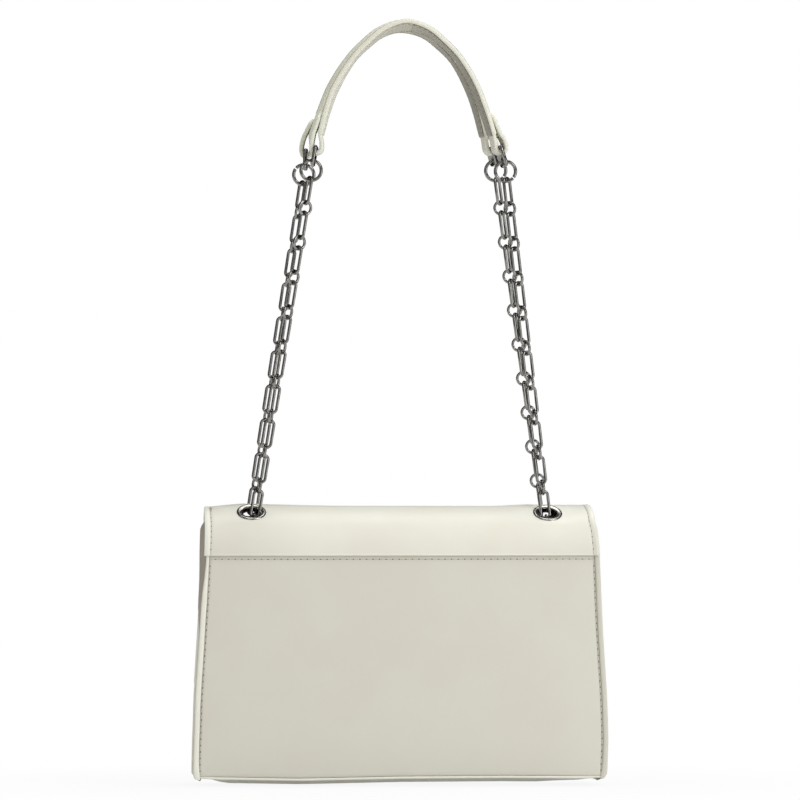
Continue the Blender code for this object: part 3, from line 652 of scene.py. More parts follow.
def panel(name, row, top, swell):
    """A panel on the back or front of the bag."""
    middle = (PANEL_BOTTOM + top) / 2
    rows = []
    for height in [middle + part for part in spread(top - middle, EDGE_STEPS, 16)]:
        over_bottom = height - PANEL_BOTTOM
        half = half_at(height, row * WALL_Y) - EDGE_BAND - PANEL_GAP
        half -= round_off(PANEL_CORNER, over_bottom)
        under_top = max(1 - over_bottom / (top - PANEL_BOTTOM), 0.0)
        fill = min(1.0, 2 * under_top) ** 0.7 * ease(-0.006, 0.022, height)
        line = []
        for x in spread(half, EDGE_STEPS, 26):
            full = (1 - (x / half) ** 4) * fill
            roll = 1 - ease(0, 0.0020, half - abs(x)) * ease(0, 0.0022, over_bottom)
            up = wave(-row * x, height) if row < 0 else 0
            depth = WALL_Y + swell * full - EDGE_ROLL * roll
            line.append(bag_point(-row * x, row * depth, height + up))
        rows.append(line)
    return smooth(blunt(thicken(sheet(name, rows), LEATHER), 0.0004))


def from_edge(point):
    """How far a point of the mesh is inside the outline of the bag."""
    height = point.z - BAG_Z
    return half_at(height, point.y) - abs(point.x - BAG_X - read(LEAN, height))


def groove(inside, wide):
    """1 in the stitched groove beside an edge and 0 away from it."""
    return math.exp(-((inside - SEAM_INSET) / wide) ** 2)


# Dust and painted shade in the stitched groove, painted shade along the panel's bottom, and a painted shadow
# under the strip's lower edge.
def panel_dust_and_shade(point):
    height = point.z - BAG_Z
    low = 1 - ease(0, 0.0012, height - wave(point.x - BAG_X, height) - PANEL_BOTTOM)
    strip_shadow = ease(UNDER_STRIP, 0.0018, STRIP_EDGE - height)
    return min(1.0, 0.10 * groove(from_edge(point), 0.0006) + 0.35 * low + 0.15 * strip_shadow)


for row_name, top, swell in (("back", STRIP_EDGE + UNDER_STRIP, PUFF), ("front", FRONT_TOP, 0.0)):
    leaf = panel(row_name + "_panel_leather", ROWS[row_name], top, swell)
    mark(leaf, "seam", panel_dust_and_shade)
    dress(leaf, "bag", PANEL_LEATHER, "panel_leather", row_name + "_panel")
print("panels:", len(leaf.data.vertices), "points each")

# %% [markdown]
# ## Turned edges
# Round the panels the leather is turned over a filler, which makes a flat padded band. On the sides it
# is 3.4 mm wide and runs to the very bottom, where it tapers; along the bottom it is a thin roll.
# Each is swept: rings of points with soft corners, one after the other along the edge.

# %% Side bands and bottom rolls
RING_STEPS = 14
BAND_DEPTH = 0.0034
BAND_FRONT = WALL_Y + 0.0005
BAND_LEAST = 0.0007
BAND_TAPER = 0.0012
LOW_HEIGHTS = (0.0018, 0.0024, 0.0032, 0.0042, 0.0056, 0.0074, 0.0100, 0.0140)
TUCKED_IN = 0.0015
TUCK_HEIGHTS = (0.112, 0.139)
ROLL_HALF = 0.1252
ROLL_Y = WALL_Y - 0.0014
ROLL_HEIGHT = 0.0024
ROLL_TALL = 0.0012
ROLL_TAPER = 0.112


def soft_ring(middle, across, through, wide, deep, squareness=0.55):
    """A ring of points with soft corners, about a middle and in two directions."""
    ring = []
    for step in range(RING_STEPS):
        angle = 2 * math.pi * step / RING_STEPS
        c, s = math.cos(angle), math.sin(angle)
        u = math.copysign(abs(c) ** squareness, c) * wide / 2
        v = math.copysign(abs(s) ** squareness, s) * deep / 2
        ring.append(middle + across * u + through * v)
    return ring


def side_band(name, side, row, top):
    """The band tapers at the bottom. Under the strip the left one of the back draws in."""
    stations = []
    for height in LOW_HEIGHTS + tuple(np.linspace(0.020, top, 22)):
        half = half_at(height, row * WALL_Y)
        outer = half - round_off(CORNER[side], height - BOTTOM_EDGE)
        if side < 0 and row < 0:
            outer -= TUCKED_IN * ease(*TUCK_HEIGHTS, height)
        inner = half - EDGE_BAND - BAND_TAPER * (1 - ease(0, LOW_HEIGHTS[-1], height))
        inner = min(inner, outer - BAND_LEAST)
        middle = bag_point(side * (outer + inner) / 2, row * (BAND_FRONT - BAND_DEPTH / 2), height)
        wide = (outer - inner) * (0.85 if height < 0.003 else 1.0)
        stations.append(soft_ring(middle, X_AXIS, Y_AXIS, wide, BAND_DEPTH))
    return swept(name, stations)


def bottom_roll(name, row):
    stations = []
    for x in spread(ROLL_HALF, EDGE_STEPS, 24):
        taper = ease(ROLL_TAPER, ROLL_HALF, abs(x))
        up = wave(x, 0) if row < 0 else 0
        middle = bag_point(x, row * ROLL_Y, ROLL_HEIGHT + 0.0004 * taper + up)
        tall = ROLL_TALL + 0.0007 * (1 - taper)
        stations.append(soft_ring(middle, Y_AXIS, Z_AXIS, BAND_DEPTH, tall, 0.8))
    return swept(name, stations)


print("band depth:", round(BAND_DEPTH / MM, 1), "mm")

# %% Fit the bands and rolls
EDGE_HIGHLIGHT = 0.8
for row_name, top in (("back", STRIP_EDGE - 0.0002), ("front", FRONT_TOP)):
    row = ROWS[row_name]
    for side_name, side in SIDES.items():
        band = side_band(f"{row_name}_{side_name}_band", side, row, top)
        # Painted light and shade: the left bands are painted paler along their turned edge, and the right bands
        # darker.
        mark(band, "edge", lambda point: EDGE_HIGHLIGHT if side < 0 else 0.1)
        mark(band, "seam", lambda point: 0.48 if side > 0 else 0.0)
        dress(band, "bag", EDGE_LEATHER, "piping_leather", row_name + "_piping")
    roll = bottom_roll(row_name + "_bottom_roll", row)
    # Painted highlight along the roll's turned edge.
    mark(roll, "edge", lambda point: EDGE_HIGHLIGHT)
    dress(roll, "bag", EDGE_LEATHER, "piping_leather")
print("lowest band and roll:", band.name, roll.name)

# %% [markdown]
# ## Upper strip
# One piece of leather runs up the back, over the round top of the bag and ends at the hinge of the
# flap. It is a grid again, bent round the top. It sags a little between the grommets, lies flat under
# them, and has a padded band along both sides with a stitched groove beside it.

# %% Sizes of the strip
STRIP_STEPS = (0.0, 0.0004, 0.0010, 0.0018, 0.0027, 0.0033, 0.0037, 0.0041, 0.0045, 0.0052, 0.0068, 0.0100)
STRIP_COLUMNS = 30
SAG = (
    (-0.1197, -0.098, -0.059, -0.038, 0.062, 0.079, 0.1036, 0.120),
    (-0.0033, -0.0012, -0.0023, -0.0027, -0.0029, -0.0019, -0.0022, -0.0022),
)
STRIP_START = math.pi - math.asin((STRIP_EDGE - WALL_TOP) / DOME_RADIUS)
STRIP_END = HINGE_ANGLE + 0.0016 / DOME_RADIUS
GROMMET_SINK = {-1: 0.0017, 1: 0.0024}
GROMMET_TILT = {-1: 0.0, 1: math.radians(4.0)}
HOLE_RADIUS = 0.0056
HOLE_ROOM = 0.0009
FLANGE_SEAT = 0.0001
PRESSED = (0.0088, 0.0150)
PRESS_REACH = (0.020, 0.010)
BAND_RAISED = 0.0003
GROOVE_DEEP = 0.00022

print("strip starts at", round(math.degrees(STRIP_START)), "degrees")

# %% Where the grommets sit


def sag(x, angle):
    """How much lower the leather lies near the top of the bag."""
    return read(SAG, x) * max(0.0, math.sin(angle)) ** 2


def grommet_frame(row, side):
    """The place and turn of a grommet: Z points out of the leather."""
    height = dome(GROMMET_ANGLE)[1] - GROMMET_SINK[side]
    place = bag_point(side * GROMMET_X + 0.0002, row * GROMMET_Y, height)
    lie = Matrix.Rotation(row * (GROMMET_ANGLE - math.pi / 2), 4, "X")
    return Matrix.Translation(place) @ Matrix.Rotation(GROMMET_TILT[side], 4, "Y") @ lie


GROMMETS = {name: grommet_frame(row, side) for name, (row, side) in QUARTERS.items()}


def flattened(point):
    """Press the leather flat under a grommet's flange."""
    for matrix in GROMMETS.values():
        local = matrix.inverted() @ point
        reach = math.hypot(local.x, local.y)
        if reach < PRESS_REACH[0] and abs(local.z) < PRESS_REACH[1]:
            local.z += (FLANGE_SEAT - local.z) * (1 - ease(*PRESSED, reach))
            return matrix @ local
    return point


print("grommets at", [round(matrix.translation.x, 4) for matrix in GROMMETS.values()])

# %% The strip over the top


def band_relief(inside):
    """Height of the padded side band and of the groove beside it, by the distance from the edge."""
    raised = ease(0.0002, 0.0012, inside) * (1 - ease(0.0026, 0.0036, inside))
    return BAND_RAISED * raised - GROOVE_DEEP * groove(inside, 0.0005)


def strip_row(angle):
    depth, height = dome(angle)
    half = half_at(height, depth)
    line = []
    for x in spread(half, STRIP_STEPS, STRIP_COLUMNS):
        depth, height = dome(angle, DOME_RADIUS + band_relief(half - abs(x)))
        line.append(flattened(bag_point(x, depth, height + sag(x, angle))))
    return line


strip = sheet("upper_strip", [strip_row(angle) for angle in np.linspace(STRIP_START, STRIP_END, 45)])
blunt(thicken(strip, LEATHER), 0.0007, 3)
for matrix in GROMMETS.values():
    shape = {"vertices": 40, "radius": HOLE_RADIUS + HOLE_ROOM, "depth": 0.012}
    cutter = new(bpy.ops.mesh.primitive_cylinder_add, "hole_cutter", **shape)
    cutter.data.transform(matrix)
    finish_with(strip, "BOOLEAN", object=cutter, operation="DIFFERENCE", solver="EXACT")
    bpy.data.objects.remove(cutter, do_unlink=True)
smooth(strip)
print("strip:", len(strip.data.polygons), "faces")

# %% Finish of the strip


def band_mark(inside):
    """1 on the padded band and 0 inside it."""
    return 1 - ease(0.0028, 0.0038, inside)


# Painted highlight on the padded bands and along the lower fold of the strip at the back.
def strip_highlight(point):
    low = 1 - ease(0.0008, 0.0016, point.z - BAG_Z - STRIP_EDGE) if point.y < -0.03 else 0
    return max(band_mark(from_edge(point)), 0.7 * low)


def strip_dust_and_shade(point):
    """Dust and painted shade beside the band; painted shade on the outer parts of the strip and on the right
    band.
    """
    painted_shade = 0.16 * ease(-0.05, -0.10, point.x) + 0.12 * ease(0.08, 0.115, point.x)
    if point.x > 0:
        painted_shade += 0.28 * band_mark(from_edge(point)) * (1 - ease(0.158, 0.170, point.z - BAG_Z))
    return max(painted_shade, 0.25 * groove(from_edge(point), 0.0005))


mark(strip, "edge", strip_highlight)
mark(strip, "seam", strip_dust_and_shade)
dress(strip, "bag", STRIP_LEATHER, "strip_leather", "top_panel")
print("marks of the strip:", len(strip.data.vertices))

# %% [markdown]
# ## Seams of the back
# One seam runs down each side, first beside the band of the strip and then beside the band of the
# panel. Another holds the strip to the panel, just under the strip's lower edge.

# %% Back seams
LOWER_PITCH = 0.0041
SUNK = 0.00015


def backwards(point):
    return Vector((0, -1, 0))


def dome_out(point):
    """Straight out of the round top."""
    return Vector((0, point.y, point.z - BAG_Z - WALL_TOP)).normalized()


for side_name, side in SIDES.items():
    wall, over = [], []
    for height in np.linspace(0.0042, STRIP_EDGE - UNDER_STRIP, 30):
        full = 4 * height / STRIP_EDGE * (1 - height / STRIP_EDGE)
        wall.append(bag_point(side * (half_at(height) - SEAM_INSET), -(WALL_Y + 0.0001 * full), height))
    seam("back_panel_seam_" + side_name, wall, backwards, "bag", "panel_leather")
    for angle in np.linspace(STRIP_START - 0.03, HINGE_ANGLE + 0.12, 40):
        depth, height = dome(angle)
        x = side * (half_at(height, depth) - SEAM_INSET)
        depth, height = dome(angle, DOME_RADIUS - SUNK)
        over.append(bag_point(x, depth, height + sag(x, angle)))
    seam("strip_seam_" + side_name, over, dome_out, "bag", "strip_leather")
half = half_at(STRIP_EDGE) - SEAM_INSET
lower = []
for x in np.linspace(-half, half, 25):
    lower.append(bag_point(x, -WALL_Y - 0.00035 * (1 - (x / half) ** 4), STRIP_EDGE - 0.0023))
print("lower stitches:", seam("strip_lower_seam", lower, backwards, "bag", "panel_leather", LOWER_PITCH))

# %% [markdown]
# ## Gussets and base
# The gussets are the narrow sides. Each is one soft sheet that stands out a little near the top, where
# it is tucked in under the strip with a round corner. The base sags between its seams, so from
# behind it shows below the roll as a shaded band that tapers to the corners.

# %% Gussets
GUSSET_Y = 0.0302
GUSSET_INSET = 0.0015
GUSSET_ROOM = 0.0004
GUSSET_TUCK = 0.0022
GUSSET_LOW = (0.0008, 0.0014, 0.0022, 0.0034, 0.0050, 0.0072, 0.0100)


def gusset_swell(side, height):
    """How far a gusset stands out in its middle."""
    if side < 0:
        swell = 0.0022 * ease(0.086, 0.114, height) + 0.0008 * ease(0.12, 0.15, height)
    else:
        swell = 0.0014 * ease(0.08, 0.15, height)
    return 0.0008 + swell * (1 - ease(0.157, 0.1655, height))


def gusset_point(side, share, height):
    """A point of a gusset: share runs from -1 at the back to 1 at the front."""
    depth = GUSSET_Y
    if height > WALL_TOP:
        inner = DOME_RADIUS - LEATHER - GUSSET_ROOM
        depth = min(GUSSET_Y, math.sqrt(max(inner ** 2 - (height - WALL_TOP) ** 2, 0.0)))
    out = half_at(height, share * depth) - GUSSET_INSET - round_off(CORNER[side], height - BOTTOM_EDGE)
    out += gusset_swell(side, height) * (1 - share * share) - GUSSET_TUCK * ease(0.160, 0.168, height)
    return bag_point(side * out, share * depth, height)


heights = GUSSET_LOW + tuple(np.linspace(0.016, 0.150, 24)) + tuple(np.linspace(0.1525, 0.1715, 14))
for side_name, side in SIDES.items():
    shares = side * np.linspace(-1, 1, 17)
    rows = [[gusset_point(side, share, height) for share in shares] for height in heights]
    gusset = smooth(thicken(sheet(side_name + "_gusset_leather", rows), THIN_LEATHER))
    mark(gusset, "seam", lambda point: ease(0.0275, GUSSET_Y, abs(point.y)) * 0.8)
    dress(gusset, "bag", GUSSET_LEATHER, "panel_leather", side_name + "_gusset")
print("gussets:", len(SIDES))

# %% Base
BASE_X = 0.1226
BASE_Y = 0.0318
BASE_STEPS_X = (0.0, 0.0008, 0.002, 0.004, 0.007, 0.011, 0.016)
BASE_STEPS_Y = (0.0, 0.0005, 0.0012, 0.0022, 0.0036, 0.0056, 0.0085)
BASE_RIM = 0.0013
BASE_SAG = 0.0020


def base_point(x, y):
    """A point of the base, which sags less towards its right end."""
    inside = BASE_X - abs(x)
    belly = ease(0, 0.0065, BASE_Y - abs(y)) ** 0.6 * ease(0, 0.017, inside)
    belly *= 1 - 0.55 * ease(0.085, 0.104, x)
    lift = wave(x, 0) * ease(0.020, -0.025, y) + 0.0012 * (1 - ease(0, 0.010, inside))
    return bag_point(x, y, BASE_RIM - BASE_SAG * belly + lift)


across = spread(BASE_X, BASE_STEPS_X, 20)
rows = [[base_point(x, y) for x in reversed(across)] for y in spread(BASE_Y, BASE_STEPS_Y, 8)]
base = smooth(thicken(sheet("base_leather", rows), THIN_LEATHER))
# Painted shade: the base is painted darker all over, and more towards its back and front edges.
mark(base, "seam", lambda point: 0.38 + ease(0.029, BASE_Y, abs(point.y)) * 0.3)
dress(base, "bag", PANEL_LEATHER, "panel_leather", "base_panel")
print("base:", len(base.data.polygons), "faces")

# %% [markdown]
# ## Flap
# The flap starts at a hinge on the front shoulder of the top, rolls over it and hangs down the front.
# It was not seen in the photograph, so it is kept plain: the same padded edge band and stitches
# as the back, and a lining with a magnetic snap.

# %% Rows of the flap
FLAP_RADIUS = 0.0388
FLAP_BOTTOM = 0.046
FLAP_CORNER = 0.016
FLAP_SHOULDER = FLAP_BOTTOM + FLAP_CORNER


def flap_profile(inset, start):
    """Depth, height and angle down the flap's middle, over the shoulder of the bag."""
    first = HINGE_ANGLE - start / DOME_RADIUS
    line = []
    for angle in np.linspace(first, 0, 13):
        grown = (FLAP_RADIUS - DOME_RADIUS) * ease(0, 1, 1 - angle / HINGE_ANGLE)
        line.append((*dome(angle, DOME_RADIUS + grown - inset), angle))
    return line


def flap_rows(inset, start, margin, relief):
    """The rows of the flap from its lower edge up, an inset behind its face and a margin inside its edge."""
    bottom, corner = FLAP_BOTTOM + margin, FLAP_CORNER - margin
    heights = list(np.linspace(WALL_TOP - 0.006, bottom + corner, 14))
    heights += [bottom + corner * (1 - math.sin(angle)) for angle in np.linspace(0.12, 1.5707, 14)]
    rows = []
    hanging = [(FLAP_RADIUS - inset, height, 0.0) for height in heights]
    for depth, height, angle in flap_profile(inset, start) + hanging:
        edge = half_at(height, depth) - margin
        half = edge - round_off(corner, height - bottom)
        line = []
        for x in spread(half, STRIP_STEPS, STRIP_COLUMNS):
            inside = half - abs(x)
            if height < bottom + corner:
                inside = min(inside, height - bottom)
                if abs(x) > edge - corner:
                    inside = corner - math.hypot(abs(x) - edge + corner, bottom + corner - height)
            lift = band_relief(max(inside, 0)) if relief else 0.0
            out = Vector((0, math.cos(angle), math.sin(angle))) * lift
            line.append(bag_point(-x, depth, height) + out)
        rows.append(line)
    return rows[::-1]


print("flap ends", round(FLAP_BOTTOM / MM), "mm over the bottom")

# %% Flap and its lining


def flap_inside(point):
    """How far a point of the flap is inside its outline."""
    height = point.z - BAG_Z
    side = from_edge(point)
    if height > FLAP_SHOULDER:
        return side
    if side > FLAP_CORNER:
        return height - FLAP_BOTTOM
    return FLAP_CORNER - math.hypot(FLAP_CORNER - side, FLAP_SHOULDER - height)


flap = thicken(sheet("flap_leather", flap_rows(0.0, 0.0030, 0.0, True)), LEATHER)
smooth(blunt(flap, 0.0005))
# Painted highlight on the flap's edge band, and dust and painted shade in its groove, as on the back.
mark(flap, "edge", lambda point: band_mark(flap_inside(point)))
mark(flap, "seam", lambda point: groove(flap_inside(point), 0.0005))
dress(flap, "flap", PANEL_LEATHER, "panel_leather", "flap")
flap_lining = sheet("flap_lining_leather", flap_rows(LEATHER + 0.0003, 0.006, 0.004, False))
dress(smooth(thicken(flap_lining, 0.001)), "flap", UNDER_LEATHER, "strip_leather", "flap_lining")
print("flap:", len(flap.data.polygons), "faces")

# %% [markdown]
# Strip and flap are cut apart at the hinge, so a thin leather behind both of them bridges the cut.

# %% Leather of the hinge
HINGE_REACH = 0.0056
HINGE_INSET = 0.0006
HINGE_BEND = 0.05


def hinge_row(away):
    """A row of the hinge's leather, at a distance above the hinge or, below 0, under it."""
    angle = HINGE_ANGLE + away / DOME_RADIUS
    depth, height = dome(angle, DOME_RADIUS - HINGE_INSET)
    across = spread(half_at(height, depth) - HINGE_INSET, STRIP_STEPS, STRIP_COLUMNS)
    return [bag_point(-x, depth, height + sag(-x, angle) * ease(-0.001, 0.002, away)) for x in across]


hinge_rows = [hinge_row(away) for away in np.linspace(-HINGE_REACH, HINGE_REACH, 13)]
hinge = smooth(thicken(sheet("flap_hinge_leather", hinge_rows), 0.0010))
# Painted shade: the hinge's leather is painted a quarter of the way to the dust-and-shade colour, as it lies in
# the gap between strip and flap.
mark(hinge, "seam", lambda point: 0.25)
hinge.data.materials.append(STRIP_LEATHER)
above, below = [tuple(bag_point(0, *dome(HINGE_ANGLE + bend))) for bend in (HINGE_BEND, -HINGE_BEND)]
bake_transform(hinge)
print("hinge leather:", len(hinge.data.polygons), "faces")

# %% Stitches of the flap


def flap_out(point):
    """Out of the flap: round the shoulder, and straight to the front below it."""
    return dome_out(point) if point.z > BAG_Z + WALL_TOP else Y_AXIS


STITCH_SUNK = 0.0003
edge_line = []
for depth, height, angle in flap_profile(0.0, 0.004):
    edge_line.append((half_at(height, depth) - SEAM_INSET, depth - STITCH_SUNK, height))
for height in np.linspace(WALL_TOP - 0.008, FLAP_SHOULDER, 14):
    edge_line.append((half_at(height, FLAP_RADIUS) - SEAM_INSET, FLAP_RADIUS - STITCH_SUNK, height))
turn = FLAP_CORNER - SEAM_INSET
for angle in np.linspace(0.15, math.pi / 2, 10):
    x = half_at(FLAP_SHOULDER, FLAP_RADIUS) - FLAP_CORNER + turn * math.cos(angle)
    edge_line.append((x, FLAP_RADIUS - STITCH_SUNK, FLAP_SHOULDER - turn * math.sin(angle)))
whole_line = [bag_point(*p) for p in edge_line] + [bag_point(-x, y, z) for x, y, z in reversed(edge_line)]
print("flap stitches:", seam("flap_seam", whole_line, flap_out, "flap", "panel_leather"))

# %% [markdown]
# ## Grommets
# A grommet is a turned part: a rounded flange, a barrel through the leather, and a washer inside. It
# could be a torus and a cylinder, but one closed turned shape has the true rounded lip. A circle
# is extruded and resized from one ring of the profile to the next, as on a lathe, and then closed.

# %% Turned metal
TINY = 0.000002
FLANGE_PROFILE = (
    (HOLE_RADIUS, -0.0027), (HOLE_RADIUS, -0.0003), (0.00567, 0.0002), (0.00600, 0.0005), (0.00680, 0.0007),
    (0.00770, 0.0009), (0.00840, 0.0009), (0.00895, 0.0007), (0.00920, 0.0004), (0.00925, 0.0001),
    (0.00915, 0.00005), (0.00630, 0.00005), (0.00630, -0.0025), (0.0072, -0.0029), (0.0070, -0.0032),
    (0.0060, -0.0031),
)
WASHER_PROFILE = (
    (0.0068, -0.0023), (0.0069, -0.0020), (0.0076, -0.0018), (0.0084, -0.0019), (0.0088, -0.0022),
    (0.0087, -0.0026), (0.0072, -0.0027), (0.0069, -0.0026),
)


def turned(name, profile, steps=56, ring=True):
    """A body turned about Z through a profile of radius and height; a ring's ends are joined."""
    radius, height = profile[0]
    circle = {"vertices": steps, "radius": radius, "location": (0, 0, height)}
    piece = settle(new(bpy.ops.mesh.primitive_circle_add, name, **circle))
    edit(piece, "EDGE")
    for next_radius, next_height in profile[1:]:
        bpy.ops.mesh.extrude_region_move(TRANSFORM_OT_translate={"value": (0, 0, next_height - height)})
        share = next_radius / radius
        bpy.ops.transform.resize(value=(share, share, 1), center_override=(0, 0, next_height))
        radius, height = next_radius, next_height
    if ring:
        bpy.ops.mesh.select_all(action="DESELECT")
        bpy.ops.mesh.select_non_manifold()
        bpy.ops.mesh.bridge_edge_loops()
    close()
    return smooth(clean(piece, TINY), 35)


print("hole:", round(2 * HOLE_RADIUS / MM, 1), "mm across")

# %% Grommets and washers
flange = turned("flange_pattern", FLANGE_PROFILE)
washer = turned("washer_pattern", WASHER_PROFILE)
for name, matrix in GROMMETS.items():
    for part_name, pattern in (("grommet", flange), ("washer", washer)):
        part = copies(f"{name}_{part_name}_turned", pattern, [matrix])
        dress(part, "bag", GROMMET_METAL, "grommet_metal", f"{name}_{part_name}")
print("grommets:", len(GROMMETS))

# %% [markdown]
# ## Links and rings
# A ring is a torus. A long link is a torus whose upper half is lifted, which leaves two straight
# sides: that is how such a link is bent from wire. A rectangular loop is the same with four quarters.
# The big ring at the top of a strand is left open by a fine cut, as it was closed with pliers.

# %% Wire shapes
LINK_WIDE = 0.0074
LINK_LONG = 0.0190
LINK_WIRE = 0.0019
RING_REACH = 0.0076
RING_WIRE = 0.0016
LINK_BOW = LINK_WIDE - LINK_WIRE
LINK_REACH = LINK_LONG - LINK_WIRE
JUMP_REACH = 0.0127
JUMP_WIRE = 0.0021
JUMP_STEPS = 48


def wire_ring(name, reach, wire, stretch_z=0.0, stretch_x=0.0, around=32):
    """A ring in the XZ plane that hangs from the origin. reach is the height between wire centres
    before the halves are pulled apart."""
    size = {"major_radius": reach / 2, "minor_radius": wire / 2, "rotation": (math.pi / 2, 0, 0)}
    steps = {"major_segments": around, "minor_segments": 14}
    piece = settle(new(bpy.ops.mesh.primitive_torus_add, name, **size, **steps))
    piece.data.transform(Matrix.Rotation(math.pi / around, 4, "Y"))
    for axis, stretch in ((2, stretch_z), (0, stretch_x)):
        if stretch:
            edit(piece, "VERT", lambda vertex: vertex.co[axis] > 0)
            bpy.ops.transform.translate(value=[stretch if other == axis else 0 for other in range(3)])
            close()
    bpy.ops.object.shade_smooth()
    piece.data.transform(Matrix.Translation((-stretch_x / 2, 0, -reach / 2 - stretch_z)))
    return piece


def cut_ring(name, gap):
    """The big ring, with a fine cut at an angle from its top."""
    piece = wire_ring(name, JUMP_REACH, JUMP_WIRE, around=JUMP_STEPS)
    radius = JUMP_REACH / 2
    spot = Vector((math.sin(gap), 0, math.cos(gap) - 1)) * radius
    half_step = math.pi / JUMP_STEPS

    def at_cut(face):
        turn = math.atan2(face.center.x, face.center.z + radius)
        near = (face.center - spot).length < JUMP_WIRE / 2 + 1.2 * half_step * radius
        return near and abs(turn - gap) < half_step

    edit(piece, "FACE", at_cut)
    bpy.ops.mesh.delete(type="FACE")
    close()
    return smooth(clean(piece, TINY), 60)


link = wire_ring("link_pattern", LINK_BOW, LINK_WIRE, LINK_REACH - LINK_BOW)
ring = wire_ring("ring_pattern", RING_REACH, RING_WIRE)
JUMPS = {
    -1: cut_ring("jump_left_pattern", math.radians(-60)),
    1: cut_ring("jump_right_pattern", math.radians(135)),
}
print("link", round(LINK_LONG / MM, 1), "mm long, ring", round((RING_REACH + RING_WIRE) / MM, 1), "mm")

# %% [markdown]
# ## Four strands
# A strand hangs straight from its jump ring to its grommet. Each link turns a little against the one
# above, as chain does under load, so most strands show their links edge-on at the top and face-on
# lower down. The rings stand at right angles to the links they join, or lean a little. A strand is
# given by the turn of its first link, the turn from link to link and the lean of its rings, in
# degrees, and by how far its top and its foot stand off the frame's own, sideways and upwards, in
# millimetres.

# %% Hang the chains
LINKS = 10
GRIP = (LINK_WIRE + RING_WIRE) / 2
FIRST_DROP = JUMP_REACH - (JUMP_WIRE + LINK_WIRE) / 2 - 0.0001
STRANDS = {
    "back_left": (62, 8.5, 0, (0.5, -0.6), (1.9, -4.4)),
    "back_right": (44, 4.5, 0, (0.9, -0.9), (-1.1, -3.6)),
    "front_left": (56, 6.0, -35, (0.8, -2.9), (1.7, -2.4)),
    "front_right": (58, -2.0, 10, (0.0, -0.1), (-1.2, 0.0)),
}
TOPS, FEET = {}, {}


def strand_ends(name, top_shift, foot_shift):
    """Top of a strand, inside its jump ring, and its lower end in the grommet."""
    low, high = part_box(name + "_jump_ring")
    top = Vector(((low.x + high.x) / 2, (low.y + high.y) / 2, high.z - JUMP_WIRE / 2))
    foot = GROMMETS[name].translation.copy()
    foot.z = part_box(name + "_chain_5")[0].z + LINK_WIRE / 2
    return [end + Vector((x, 0, z)) * MM for end, (x, z) in ((top, top_shift), (foot, foot_shift))]


for name, (first_turn, turn_step, ring_lean, top_shift, foot_shift) in STRANDS.items():
    side = QUARTERS[name][1]
    top, foot = TOPS[name], FEET[name] = strand_ends(name, top_shift, foot_shift)
    along = (foot - top).normalized()
    facing = square_to(-Y_AXIS, along)
    hung = turned_to(facing.cross(along), -facing, -along)
    pitch = ((foot - top).length - LINK_REACH - FIRST_DROP) / (LINKS - 1)
    ring_size = (pitch - LINK_REACH + 2 * GRIP) / RING_REACH
    links_here, rings_here = [], []
    for index in range(LINKS):
        turn = side * math.radians(first_turn - turn_step * index)
        place = Matrix.Translation(top + along * (FIRST_DROP + pitch * index)) @ hung
        links_here.append(place @ Matrix.Rotation(turn, 4, "Z"))
        if index < LINKS - 1:
            quarter = Matrix.Rotation(turn + math.radians(90 + side * ring_lean), 4, "Z")
            drop = Matrix.Translation((0, 0, GRIP - LINK_REACH))
            rings_here.append(place @ drop @ quarter @ Matrix.Scale(ring_size, 4))
    for part_name, pattern, places, nodes in (
        ("links", link, links_here, [f"{name}_chain_{number}" for number in range(1, 6)]),
        ("rings", ring, rings_here, []),
        ("open_ring", JUMPS[side], [Matrix.Translation(top) @ hung], [name + "_jump_ring"]),
    ):
        part = copies(f"{name}_{part_name}", pattern, places)
        dress(part, "chain_" + name, CHAIN_METAL, "chain_metal", *nodes)
print("pitch of the links:", round(pitch / MM, 2), "mm, ring size", round(ring_size, 3))

# %% [markdown]
# ## Shoulder pads
# A pad is a padded strap: an outer leather over a filler, turned in at both edges, and a lining
# under it. The pads hang rolled a little, with the near edge out, so from behind they show their
# lining. Rings of points are swept along the arch and turned by the roll of that place. The tables
# give the roll in degrees and how far the pad bows out, by the share of the way from the pad's top.

# %% The arch of the pads
PAD_HALF_SPAN = 0.0575
PAD_RISE = 0.07435
PAD_TOP_Z = 0.0026
PAD_Y = 0.00925
PAD_STAGGER = (0.0011, 0.00205)
FAR_END_SHIFT = Vector((-0.0014, 0, -0.0014))
ARCH_SHARES = (
    (0, 0), (0.255, 0.045), (0.475, 0.175), (0.63, 0.325), (0.765, 0.515), (0.870, 0.715), (0.940, 0.880),
    (1, 1),
)
ROLL = (
    (-1.0, -0.90, -0.62, -0.40, -0.20, 0.0, 0.20, 0.40, 0.62, 0.85, 1.0),
    (6.0, 6.5, 10.0, 5.0, 9.5, 23.0, 9.5, 5.5, 10.5, 9.5, 7.0),
)
BOW = (
    (-1.0, -0.915, -0.80, -0.62, -0.40, -0.25, -0.12, 0.0, 0.12, 0.25, 0.40, 0.62, 0.80, 0.915, 1.0),
    (0, 1.1, 1.4, 1.8, 1.5, 1.4, 2.3, 3.3, 2.5, 1.5, 1.6, 0.9, 0.1, -0.3, -0.3),
)
right_half = [(PAD_HALF_SPAN * x, PAD_TOP_Z - PAD_RISE * y) for x, y in ARCH_SHARES]
ARCH = curve_through([(-x, z) for x, z in reversed(right_half[1:])] + right_half, 10)
ARCH_X, ARCH_Z = np.array(ARCH).T
ARCH_WAYS = np.concatenate([[0.0], np.cumsum(np.linalg.norm(np.diff(ARCH, axis=0), axis=1))])
PAD_HALF = ARCH_WAYS[-1] / 2
ARCH_WAYS -= PAD_HALF
print("pad length:", round(2 * PAD_HALF / MM, 1), "mm")

# %% Places along a pad


